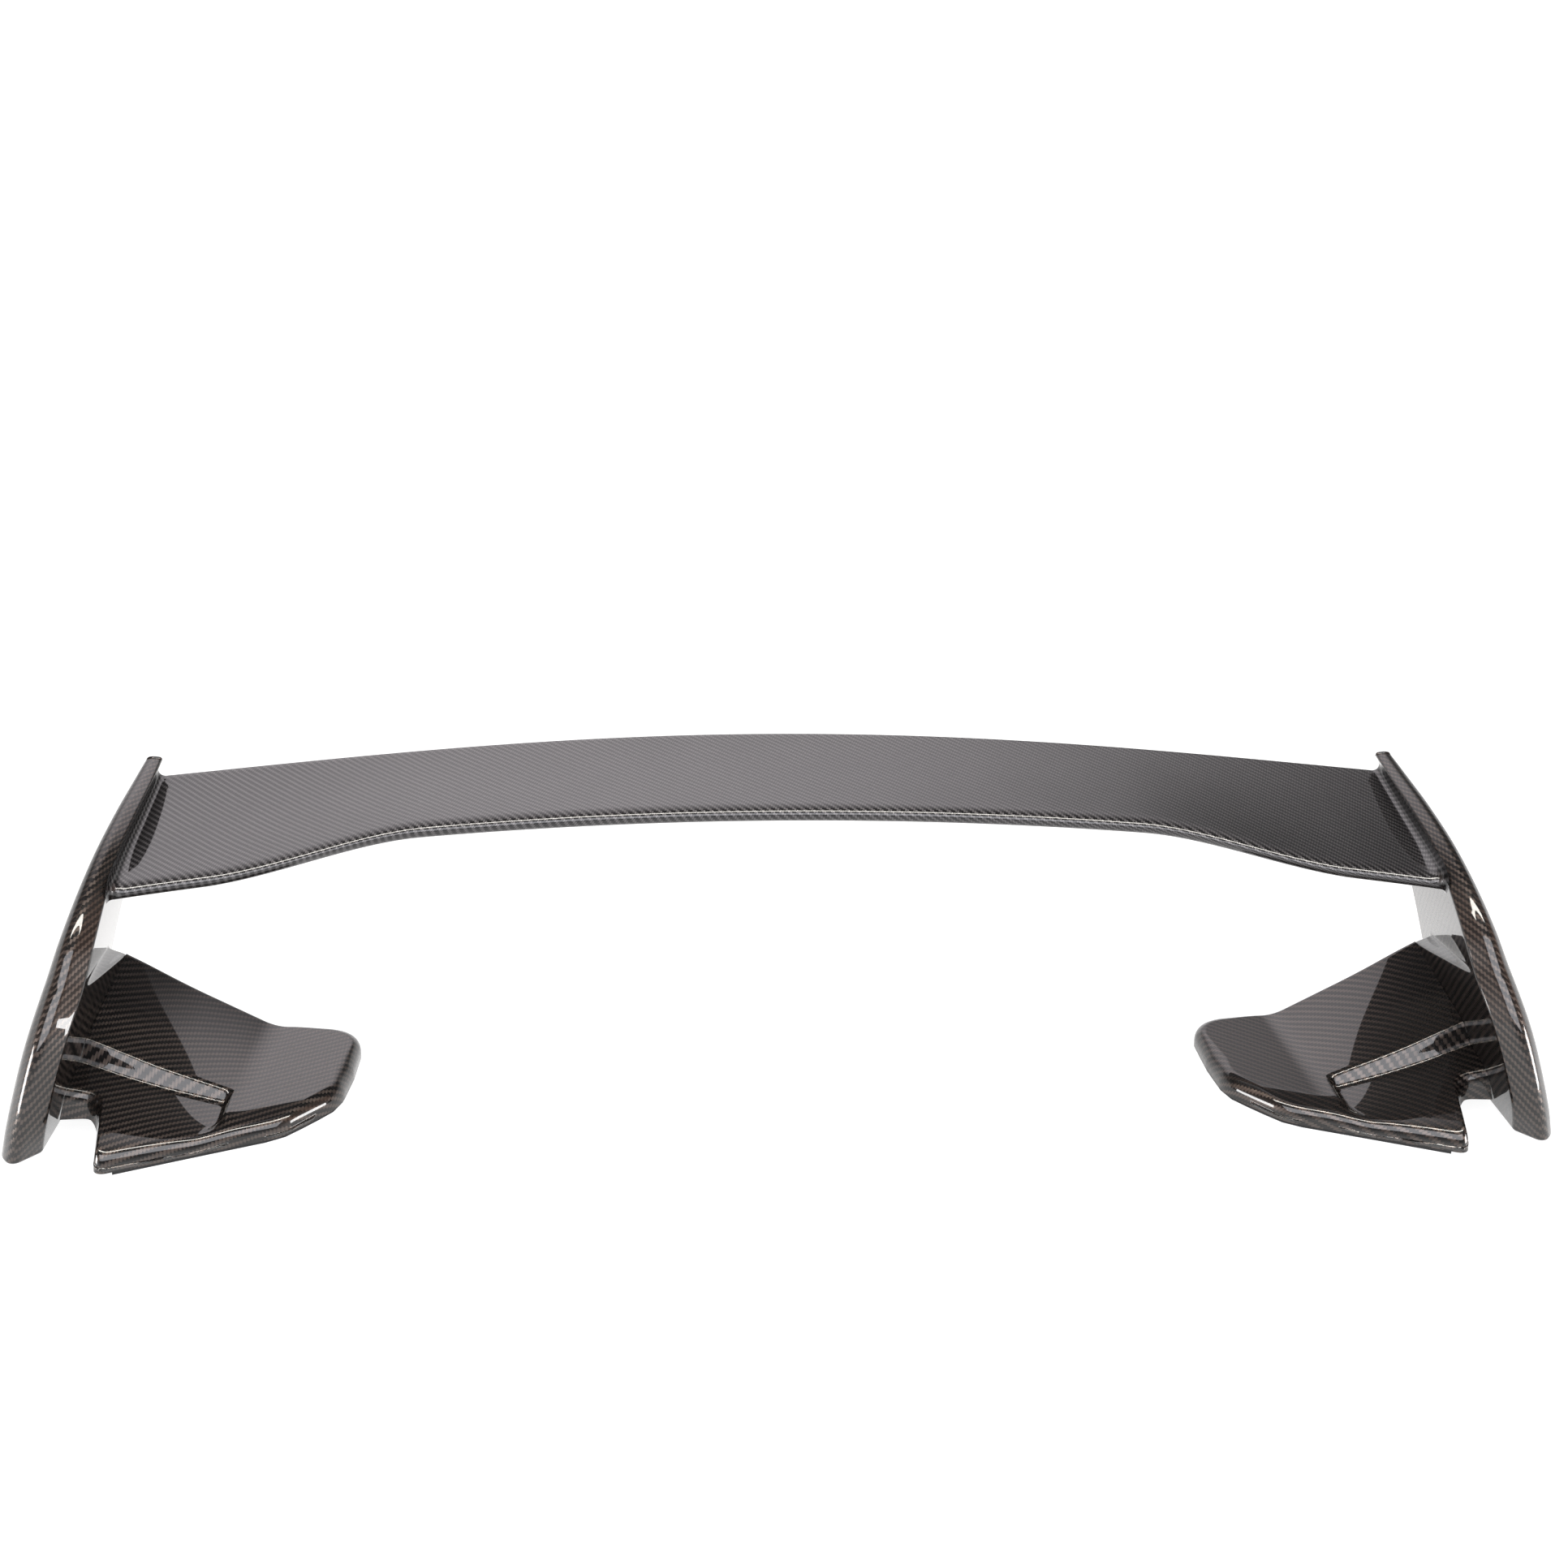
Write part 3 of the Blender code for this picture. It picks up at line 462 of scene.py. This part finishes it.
def blade_section(x_middle):
    """Points (y, z) round the blade: tail, top, nose, underside, tail, with the tail's edge rounded."""
    lead, tail = blade_chord(x_middle)
    chord = tail - lead
    across = Vector((-chord.y, chord.x)).normalized()
    along = chord.normalized()

    def at(t, face):
        height = blade_half_thickness(t, chord.length)
        sag = CAMBER * chord.length * 4.0 * t * (1.0 - t)
        return lead + chord * t + across * (face * height - sag)

    nose = NOSE_LENGTH / chord.length
    flat = [mix(1.0, nose, k / BLADE_TOP_POINTS) for k in range(BLADE_TOP_POINTS)]
    curl = [nose * (1.0 - math.sin(math.radians(a))) for a in steps(0.0, 90.0, BLADE_NOSE_POINTS)]
    down = flat + curl
    section = [at(t, 1) for t in down] + [at(t, -1) for t in down[-2::-1]]
    edge = []
    for k in range(1, BLADE_TAIL_RINGS):
        turn = math.radians(-90.0 + 180.0 * k / BLADE_TAIL_RINGS)
        edge.append(tail + along * (TAIL_HALF_THICKNESS * math.cos(turn))
                    + across * (TAIL_HALF_THICKNESS * math.sin(turn)))
    return section + edge + section[:1]


def outward_normals(section):
    """Directions out of a closed section, whose last point repeats the first."""
    normals = []
    for i in range(len(section)):
        before = section[i - 1] if i else section[-2]
        after = section[i + 1] if i < len(section) - 1 else section[1]
        along = (after - before).normalized()
        normals.append(Vector((along.y, -along.x)))
    outwards = 1.0 if normals[BLADE_TOP_INDEX].y > 0 else -1.0
    return [n * outwards for n in normals]


def fillet_radii(section, normals):
    """Radius of the fillet to the fin at each point of the blade's end."""
    tail, nose = section[0].x, section[BLADE_NOSE_INDEX].x
    radii = []
    for n, p in zip(normals, section):
        rearwards = clamp((p.x - nose) / (tail - nose))
        radii.append(mix(FILLET_UNDER, mix(*FILLET_TOP, rearwards), clamp(0.5 + n.y)))
    return radii


def fillet_row(section, normals, radii, turn, side):
    """The blade's end section, carried up to the fin by turn along its fillet."""
    row = []
    for p, n, r in zip(section, normals, radii):
        lifted = p + n * (r * (1.0 - math.cos(turn)))
        reach = fin_inner_x(lifted.x, lifted.y) - r * (1.0 - math.sin(turn)) + GAP * math.sin(turn)
        row.append(world(side * reach, lifted.x, lifted.y))
    return row


def make_blade(material):
    end_section = blade_section(BLADE_HALF_SPAN)
    normals = outward_normals(end_section)
    radii = fillet_radii(end_section, normals)
    flat_ends = [fin_inner_x(p.x, p.y) - r for p, r in zip(end_section, radii)]

    rows = []
    for v in steps(-1.0, 1.0, BLADE_STEPS):
        section = blade_section(v * BLADE_HALF_SPAN)
        rows.append([world(v * x, p.x, p.y) for x, p in zip(flat_ends, section)])
    turns = [math.radians(90.0 * k / FILLET_STEPS) for k in range(1, FILLET_STEPS + 1)]
    left, right = ([fillet_row(end_section, normals, radii, turn, side) for turn in turns]
                   for side in SIDES.values())
    rows = left[::-1] + rows + right

    span = lengths_along([row[BLADE_TOP_INDEX] for row in rows])
    middle = span[len(span) // 2]
    uvs = []
    for row, u in zip(rows, span):
        around = lengths_along(row)
        start = around[BLADE_TOP_POINTS] + row[BLADE_TOP_POINTS].y
        uvs.append([(u - middle, w - start) for w in around])
    surface = Surface()
    surface.sheet(rows, uvs)
    stand_in(surface.finish("blade"), "carbon", material, "blade_upper_skin", "blade_lower_skin")


# ---------------------------------------------------------------- foot geometry
def foot_lean(x):
    """Share of the fin's lean that the foot has at x."""
    return smoothstep(SHEAR_FROM, FOOT_END_X, x)


def foot_edge_radius(x, y):
    """Radius between the foot's wall and its top at a place on the outline."""
    edge = mix(*FOOT_EDGE_RADII, smoothstep(*FOOT_EDGE_CHANGE_Y, y))
    return mix(FOOT_TIP_RADIUS, edge, smoothstep(*FOOT_TIP_X, x))


def foot_bottom(x, y):
    """Height of the wall's lower edge."""
    bridge = smoothstep(*FOOT_BRIDGE_X, x) * smoothstep(*FOOT_BRIDGE_Y, y)
    return mix(GASKET + GAP, FOOT_BRIDGE_Z, bridge)


def foot_height(x, y):
    """Height of the foot's top: pad and ramp behind the step, sunk front ledge before it."""
    corner, next_corner = Vector(FOOT_FRONT[2][:2]), Vector(FOOT_FRONT[3][:2])
    along = (next_corner - corner).normalized()
    from_front = along.y * (x - corner.x) - along.x * (y - corner.y)
    pad = soft_min(FOOT_PAD_Z, RIM_Z + PAD_RIM_SLOPE * from_front, PAD_BLEND)
    peak = FOOT_PEAK_Z - FOOT_PEAK_FALL * (FOOT_REAR_Y - y)
    foot_of_ramp = FOOT_RAMP_X + FOOT_RAMP_SKEW * (FOOT_REAR_Y - y)
    slope = (peak - FOOT_PAD_Z) / (FOOT_END_X - FIN_LEAN * peak - foot_of_ramp)
    past = x - foot_of_ramp
    climb = max(0.0, past)
    if abs(past) < RAMP_EASE:
        climb = (past + RAMP_EASE) ** 2 / (4.0 * RAMP_EASE)
    ramp = pad + slope * climb / (1.0 + FIN_LEAN * slope * foot_lean(x))
    outwards = (x - LEDGE_X[0]) / (LEDGE_X[1] - LEDGE_X[0])
    ledge = mix(LEDGE_INNER_Z, LEDGE_FIN_Z + LEDGE_FIN_RISE * y, outwards)
    ledge = soft_min(ledge, RIM_Z + LEDGE_RIM_SLOPE * from_front, LEDGE_BLEND)
    step = STEP_Y + STEP_SKEW * (x - LEDGE_X[1])
    before = 1.0 - smoothstep(-STEP_WIDTH / 2.0, STEP_WIDTH / 2.0, y - step)
    width = mix(*INNER_STEP_WIDTHS, smoothstep(*INNER_STEP_FADE, from_front))
    outside = smoothstep(-width / 2.0, width / 2.0, x - LEDGE_X[0])
    return mix(ramp, ledge, before * outside)


def foot_place(x, y, z, side):
    return world(side * (x - FIN_LEAN * z * foot_lean(x)), y, z)


def resample(path, count):
    """The same path drawn with count even steps."""
    lengths = lengths_along(path)
    points = []
    i = 0
    for target in steps(0.0, lengths[-1], count):
        while i < len(path) - 2 and lengths[i + 1] < target:
            i += 1
        share = (target - lengths[i]) / (lengths[i + 1] - lengths[i])
        points.append(path[i].lerp(path[i + 1], clamp(share)))
    return points


def foot_edge(corners):
    """One half of the foot's outline in plan, from the fin to the tip."""
    path = rounded_path([c[:2] for c in corners], [c[2] for c in corners], FOOT_ARC)
    return resample(path, FOOT_ROWS)


def foot_row(edge, spine):
    """(place in plan, height, cloth used beyond the plan's width) from the wall's foot to the spine."""
    inwards = spine - edge
    reach = inwards.length
    inwards.normalize()
    radius = foot_edge_radius(edge.x, edge.y)
    low = foot_bottom(edge.x, edge.y)
    shoulder = foot_height(edge.x + inwards.x * radius, edge.y + inwards.y * radius) - radius
    wall = max(shoulder - low, THINNEST_WALL)
    folded = radius * (math.pi / 2.0 - 1.0)
    shares = [k / FOOT_WALL_STEPS for k in range(FOOT_WALL_STEPS)]
    row = [(edge, low + wall * share, folded + wall * (1.0 - share)) for share in shares]
    for angle in steps(0.0, 90.0, FOOT_EDGE_STEPS):
        turn = math.radians(angle)
        at = edge + inwards * radius * (1.0 - math.cos(turn))
        down = radius * (math.pi / 2.0 - turn - math.cos(turn))
        row.append((at, foot_height(at.x, at.y) - radius * (1.0 - math.sin(turn)), down))
    for k in range(1, FOOT_COLUMNS + 1):
        at = edge + inwards * mix(radius, reach, k / FOOT_COLUMNS)
        row.append((at, foot_height(at.x, at.y), 0.0))
    return row, inwards


def make_foot(label, side, material):
    front, rear = foot_edge(FOOT_FRONT), foot_edge(FOOT_REAR)
    spines = [Vector((max((a.x + b.x) / 2.0, FOOT_SPINE[0]), FOOT_SPINE[1])) for a, b in zip(front, rear)]
    pairs = list(zip(front, spines)) + list(zip(rear[-2::-1], spines[-2::-1]))
    spin = Matrix.Rotation(-math.radians(FOOT_WEAVE_TURN[label]), 2)
    end_x = FOOT_END_X - GAP
    points = []
    uvs = []
    for edge, spine in pairs:
        row, inwards = foot_row(edge, spine)
        points.append([foot_place(min(at.x, end_x), at.y, z, side) for at, z, _ in row])
        flat = [at - inwards * down for at, _, down in row]
        uvs.append([spin @ Vector((side * p.x, p.y)) for p in flat])
    surface = Surface()
    surface.sheet(points, uvs)
    obj = surface.finish(f"foot_{label}")
    solid = obj.modifiers.new("skin", "SOLIDIFY")
    solid.thickness = SKIN
    solid.offset = -1.0
    stand_in(obj, "carbon", material, f"foot_shell_{label}")


# ---------------------------------------------------------------- materials
def new_material(name):
    material = bpy.data.materials.new(name)
    material.use_nodes = True
    nodes = material.node_tree.nodes
    return material, nodes, material.node_tree.links, nodes["Principled BSDF"]


def math_node(nodes, links, operation, *values):
    node = nodes.new("ShaderNodeMath")
    node.operation = operation
    for socket, value in zip(node.inputs, values):
        if isinstance(value, (int, float)):
            socket.default_value = value
        else:
            links.new(value, socket)
    return node.outputs[0]


def colour_mix(nodes, links, share, first, second):
    node = nodes.new("ShaderNodeMix")
    node.data_type = "RGBA"
    inputs = [s for s in node.inputs if s.type == "RGBA"]
    links.new(share, node.inputs[0])
    for socket, value in zip(inputs, (first, second)):
        if isinstance(value, tuple):
            socket.default_value = (*value, 1.0)
        else:
            links.new(value, socket)
    return [s for s in node.outputs if s.type == "RGBA"][0]


def carbon_material(name, tow, warp_sheen, weft_unlit, roughness, coat_roughness, bump):
    """2 x 2 twill of carbon tows under a clear coat, read from the UVs in metres."""
    material, nodes, links, shader = new_material(name)

    def do(operation, *values):
        return math_node(nodes, links, operation, *values)

    def noise(scale, detail, vector):
        node = nodes.new("ShaderNodeTexNoise")
        node.inputs["Scale"].default_value = scale
        node.inputs["Detail"].default_value = detail
        links.new(vector, node.inputs["Vector"])
        return node.outputs[0]

    uv = nodes.new("ShaderNodeUVMap")
    uv.uv_map = "weave"
    split = nodes.new("ShaderNodeSeparateXYZ")
    links.new(uv.outputs[0], split.inputs[0])
    drift = do("MULTIPLY", do("SUBTRACT", noise(DRIFT_SCALE, 1.0, uv.outputs[0]), 0.5), DRIFT)
    u = do("ADD", do("DIVIDE", split.outputs[0], tow), drift)
    v = do("SUBTRACT", do("DIVIDE", split.outputs[1], tow), drift)
    column, row = do("FLOOR", u), do("FLOOR", v)
    across_warp, across_weft = do("SUBTRACT", u, column), do("SUBTRACT", v, row)
    phase = do("FLOORED_MODULO", do("SUBTRACT", column, row), 4.0)   # over two tows, under two
    over = do("LESS_THAN", phase, 1.5)

    # a float is two cells long: how far along it this point is, from 0 to 1
    warp_along = do("DIVIDE", do("ADD", do("SUBTRACT", 1.0, phase), across_weft), 2.0)
    weft_along = do("DIVIDE", do("ADD", do("SUBTRACT", phase, 2.0), across_warp), 2.0)

    def pick(when_over, when_under):
        return do("ADD", do("MULTIPLY", over, when_over),
                  do("MULTIPLY", do("SUBTRACT", 1.0, over), when_under))

    along = pick(warp_along, weft_along)
    across = pick(across_warp, across_weft)

    def hump(t):
        """From 0 at both ends to 1 in the middle."""
        return do("MULTIPLY", do("MULTIPLY", t, do("SUBTRACT", 1.0, t)), 4.0)

    height = do("MULTIPLY", do("POWER", hump(along), FLOAT_ROUNDING),
                do("POWER", hump(across), TOW_ROUNDING))

    # fine fibres along each tow
    fibre_place = nodes.new("ShaderNodeCombineXYZ")
    links.new(do("MULTIPLY", across, FIBRES), fibre_place.inputs[0])
    links.new(do("MULTIPLY", along, FIBRE_STRETCH), fibre_place.inputs[1])
    links.new(do("ADD", column, do("MULTIPLY", row, ROW_OFFSET)), fibre_place.inputs[2])
    fibre = noise(1.0, 2.0, fibre_place.outputs[0])

    # the tows' colours with their painted sheen, painted shade darkening the dips, streaked by the fibres
    # and a little cloudy
    # painted sheen: warp tows coloured lighter than weft tows, as if lit along one fibre direction
    tow_sheen = colour_mix(nodes, links, over, weft_unlit, warp_sheen)
    shade = do("MULTIPLY", do("ADD", do("MULTIPLY", height, 0.75), 0.25),
               do("ADD", do("MULTIPLY", fibre, 0.7), 0.65))
    cloudy = noise(CLOUD_SCALE, 2.0, uv.outputs[0])
    shade = do("MULTIPLY", shade, do("ADD", do("MULTIPLY", cloudy, 0.5), 0.75))
    colour = colour_mix(nodes, links, shade, BETWEEN_TOWS, tow_sheen)
    links.new(colour, shader.inputs["Base Color"])

    bumped = nodes.new("ShaderNodeBump")
    bumped.inputs["Strength"].default_value = bump
    bumped.inputs["Distance"].default_value = TOW_RELIEF
    links.new(height, bumped.inputs["Height"])
    links.new(bumped.outputs[0], shader.inputs["Normal"])

    tangent = nodes.new("ShaderNodeTangent")
    tangent.direction_type = "UV_MAP"
    tangent.uv_map = "weave"
    links.new(tangent.outputs[0], shader.inputs["Tangent"])
    shader.inputs["Anisotropic"].default_value = 0.75
    links.new(do("MULTIPLY", over, 0.25), shader.inputs["Anisotropic Rotation"])
    links.new(do("ADD", do("MULTIPLY", fibre, 0.12), roughness), shader.inputs["Roughness"])
    shader.inputs["Metallic"].default_value = 0.85
    shader.inputs["Specular Tint"].default_value = (0.3, 0.3, 0.3, 1.0)
    shader.inputs["Coat Weight"].default_value = 1.0
    shader.inputs["Coat IOR"].default_value = 1.5
    shader.inputs["Coat Roughness"].default_value = coat_roughness
    return material


def speckled_material(name, colour, metallic, roughness, scale, bump, stretch=(1.0, 1.0, 1.0)):
    """Plain metal or rubber with a fine grain in its colour, roughness and surface."""
    material, nodes, links, shader = new_material(name)
    place = nodes.new("ShaderNodeTexCoord")
    mapping = nodes.new("ShaderNodeMapping")
    mapping.inputs["Scale"].default_value = stretch
    links.new(place.outputs["Object"], mapping.inputs["Vector"])
    noise = nodes.new("ShaderNodeTexNoise")
    noise.inputs["Scale"].default_value = scale
    noise.inputs["Detail"].default_value = 4.0
    links.new(mapping.outputs[0], noise.inputs["Vector"])
    dark = tuple(c * 0.7 for c in colour)
    links.new(colour_mix(nodes, links, noise.outputs[0], dark, colour), shader.inputs["Base Color"])
    spread = math_node(nodes, links, "MULTIPLY", noise.outputs[0], 0.25)
    links.new(math_node(nodes, links, "ADD", spread, roughness - 0.12), shader.inputs["Roughness"])
    bumped = nodes.new("ShaderNodeBump")
    bumped.inputs["Strength"].default_value = bump
    bumped.inputs["Distance"].default_value = 0.0004
    links.new(noise.outputs[0], bumped.inputs["Height"])
    links.new(bumped.outputs[0], shader.inputs["Normal"])
    shader.inputs["Metallic"].default_value = metallic
    return material


def dress_packed_nodes():
    """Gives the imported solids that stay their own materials."""
    aluminium = speckled_material("milled_aluminium", (0.62, 0.63, 0.65), metallic=1.0, roughness=0.38,
                                  scale=90.0, bump=0.15, stretch=(1.0, 14.0, 1.0))
    steel = speckled_material("zinc_plated_steel", (0.50, 0.50, 0.49), metallic=1.0, roughness=0.35,
                              scale=260.0, bump=0.1)
    rubber = speckled_material("foot_rubber", (0.020, 0.020, 0.021), metallic=0.0, roughness=0.80,
                               scale=420.0, bump=0.4)
    laminate = speckled_material("bare_laminate", (0.030, 0.030, 0.032), metallic=0.0, roughness=0.60,
                                 scale=240.0, bump=0.3)
    finishes = {"base_plate": aluminium, "bracket": aluminium, "root_block": aluminium,
                "insert": steel, "screw": steel, "gasket": rubber, "spar": laminate}
    for name, node in frame["nodes"].items():
        for word, finish in finishes.items():
            if word in name:
                node.data.materials.clear()
                node.data.materials.append(finish)


# ---------------------------------------------------------------- studio
CAMERA_PLACE = (-0.0975, -1.4255, 0.891)   # y from the feet's front corners
CAMERA_PITCH, CAMERA_YAW, CAMERA_ROLL = 20.5, 3.325, 0.89   # down, to the right, leaning left
CAMERA_LENS = 43.453
FLOOR_SIZE = 60.0
FLOOR_GLOW, FLOOR_COLOUR = 0.92, (0.24, 0.24, 0.24)
HORIZON = (0.06, 0.42)                     # upward parts of a view between which white fades to grey
HORIZON_WHITE, ROOM_GREY = 1.05, 0.14
GLOWS = (                                  # towards, full within, ends at (degrees), colour
    ((-0.12, 0.66, 0.73), 6.0, 36.0, (1.25, 1.18, 1.22)),
    ((-0.18, 0.87, 0.46), 12.0, 42.0, (0.44, 0.42, 0.44)),
    ((0.95, -0.10, 0.30), 5.0, 40.0, (0.40, 0.22, 0.14)),
    ((-0.95, -0.10, 0.30), 5.0, 40.0, (0.30, 0.19, 0.14)),
)
SOFTBOXES = {                              # place, what it faces, size, radiance, colour
    "top_softbox": ((0.0, -1.35, 1.6), (0.0, 0.1, 0.1), (3.4, 1.2), 4.6, (0.96, 0.96, 1.0)),
    "overhead_strip": ((0.0, -0.12, 2.0), (0.0, 0.0, 0.1), (3.2, 0.20), 22.0, (1.0, 0.97, 0.90)),
}
STRIP_PLACE, STRIP_AIM = (1.22, -0.21, 0.17), (0.67, 0.02, 0.12)   # on the right, and mirrored on the left
STRIP_SIZE, STRIP_RADIANCE, WHITE = (0.28, 0.34), 18.0, (1.0, 1.0, 1.0)


def make_camera():
    pitch, yaw, roll = (math.radians(a) for a in (CAMERA_PITCH, CAMERA_YAW, CAMERA_ROLL))
    ahead = Vector((math.sin(yaw) * math.cos(pitch), math.cos(yaw) * math.cos(pitch), -math.sin(pitch)))
    level = Vector((math.cos(yaw), -math.sin(yaw), 0.0))
    upright = level.cross(ahead)
    right = level * math.cos(roll) + upright * math.sin(roll)
    up = upright * math.cos(roll) - level * math.sin(roll)
    camera = bpy.data.objects.new("camera", bpy.data.cameras.new("camera"))
    bpy.context.scene.collection.objects.link(camera)
    camera.matrix_world = Matrix((right, up, -ahead)).transposed().to_4x4()
    camera.location = world(*CAMERA_PLACE)
    camera.data.sensor_width = 36.0
    camera.data.lens = CAMERA_LENS
    bpy.context.scene.camera = camera


def make_floor():
    """A large light table: white, evenly lit from below."""
    material, _, _, shader = new_material("light_table")
    shader.inputs["Base Color"].default_value = (*FLOOR_COLOUR, 1.0)
    shader.inputs["Roughness"].default_value = 0.8
    shader.inputs["Emission Color"].default_value = (1.0, 1.0, 1.0, 1.0)
    shader.inputs["Emission Strength"].default_value = FLOOR_GLOW
    bm = bmesh.new()
    bmesh.ops.create_grid(bm, x_segments=1, y_segments=1, size=FLOOR_SIZE)
    mesh = bpy.data.meshes.new("floor")
    bm.to_mesh(mesh)
    bm.free()
    mesh.materials.append(material)
    floor = bpy.data.objects.new("floor", mesh)
    bpy.context.scene.collection.objects.link(floor)


def area_light(name, place, aim, size, radiance, colour):
    """A softbox of even radiance, in the units of the world's background."""
    light = bpy.data.lights.new(name, "AREA")
    light.shape = "RECTANGLE"
    light.size, light.size_y = size
    light.energy = radiance * math.pi * size[0] * size[1]
    light.color = colour
    obj = bpy.data.objects.new(name, light)
    bpy.context.scene.collection.objects.link(obj)
    obj.location = world(*place)
    obj.rotation_euler = (Vector(aim) - Vector(place)).to_track_quat("-Z", "Y").to_euler()


def glow(nodes, links, view, towards, inner, outer, colour):
    """A soft round patch of light in the world, from full at inner to nothing at outer degrees."""
    dot = nodes.new("ShaderNodeVectorMath")
    dot.operation = "DOT_PRODUCT"
    links.new(view, dot.inputs[0])
    dot.inputs[1].default_value = Vector(towards).normalized()
    share = nodes.new("ShaderNodeMapRange")
    share.interpolation_type = "SMOOTHSTEP"
    share.inputs["From Min"].default_value = math.cos(math.radians(outer))
    share.inputs["From Max"].default_value = math.cos(math.radians(inner))
    links.new(dot.outputs["Value"], share.inputs["Value"])
    scaled = nodes.new("ShaderNodeVectorMath")
    scaled.operation = "SCALE"
    scaled.inputs[0].default_value = colour
    links.new(share.outputs["Result"], scaled.inputs["Scale"])
    return scaled.outputs[0]


def make_world():
    """A dim room with a white horizon, a bright rear window high up and warm sides."""
    studio = bpy.data.worlds.new("studio")
    bpy.context.scene.world = studio
    studio.use_nodes = True
    nodes, links = studio.node_tree.nodes, studio.node_tree.links
    place = nodes.new("ShaderNodeTexCoord")
    view = place.outputs["Generated"]
    split = nodes.new("ShaderNodeSeparateXYZ")
    links.new(view, split.inputs[0])
    horizon = nodes.new("ShaderNodeMapRange")
    horizon.interpolation_type = "SMOOTHSTEP"
    horizon.inputs["From Min"].default_value = HORIZON[0]
    horizon.inputs["From Max"].default_value = HORIZON[1]
    horizon.inputs["To Min"].default_value = HORIZON_WHITE
    horizon.inputs["To Max"].default_value = ROOM_GREY
    links.new(split.outputs[2], horizon.inputs["Value"])
    total = horizon.outputs["Result"]
    for towards, inner, outer, colour in GLOWS:
        added = nodes.new("ShaderNodeVectorMath")
        links.new(total, added.inputs[0])
        links.new(glow(nodes, links, view, towards, inner, outer, colour), added.inputs[1])
        total = added.outputs[0]
    links.new(total, nodes["Background"].inputs[0])


def make_light():
    make_world()
    for name, values in SOFTBOXES.items():
        area_light(name, *values)
    for label, side in SIDES.items():
        place, aim = ((side * x, y, z) for x, y, z in (STRIP_PLACE, STRIP_AIM))
        area_light(f"{label}_strip", place, aim, STRIP_SIZE, STRIP_RADIANCE, WHITE)
    bpy.context.scene.view_settings.view_transform = "Standard"


# ---------------------------------------------------------------- the wing
make_camera()
make_floor()
make_light()
dress_packed_nodes()
blade_twill = carbon_material("blade_twill", BLADE_TOW, BLADE_WARP_SHEEN, BLADE_WEFT_UNLIT,
                              roughness=0.34, coat_roughness=0.05, bump=0.2)
fin_twill = carbon_material("fin_twill", FIN_TOW, FIN_WARP_SHEEN, FIN_WEFT_UNLIT,
                            roughness=0.30, coat_roughness=0.015, bump=0.2)
make_blade(blade_twill)
for label, side in SIDES.items():
    make_fin(label, side, fin_twill)
    make_foot(label, side, fin_twill)
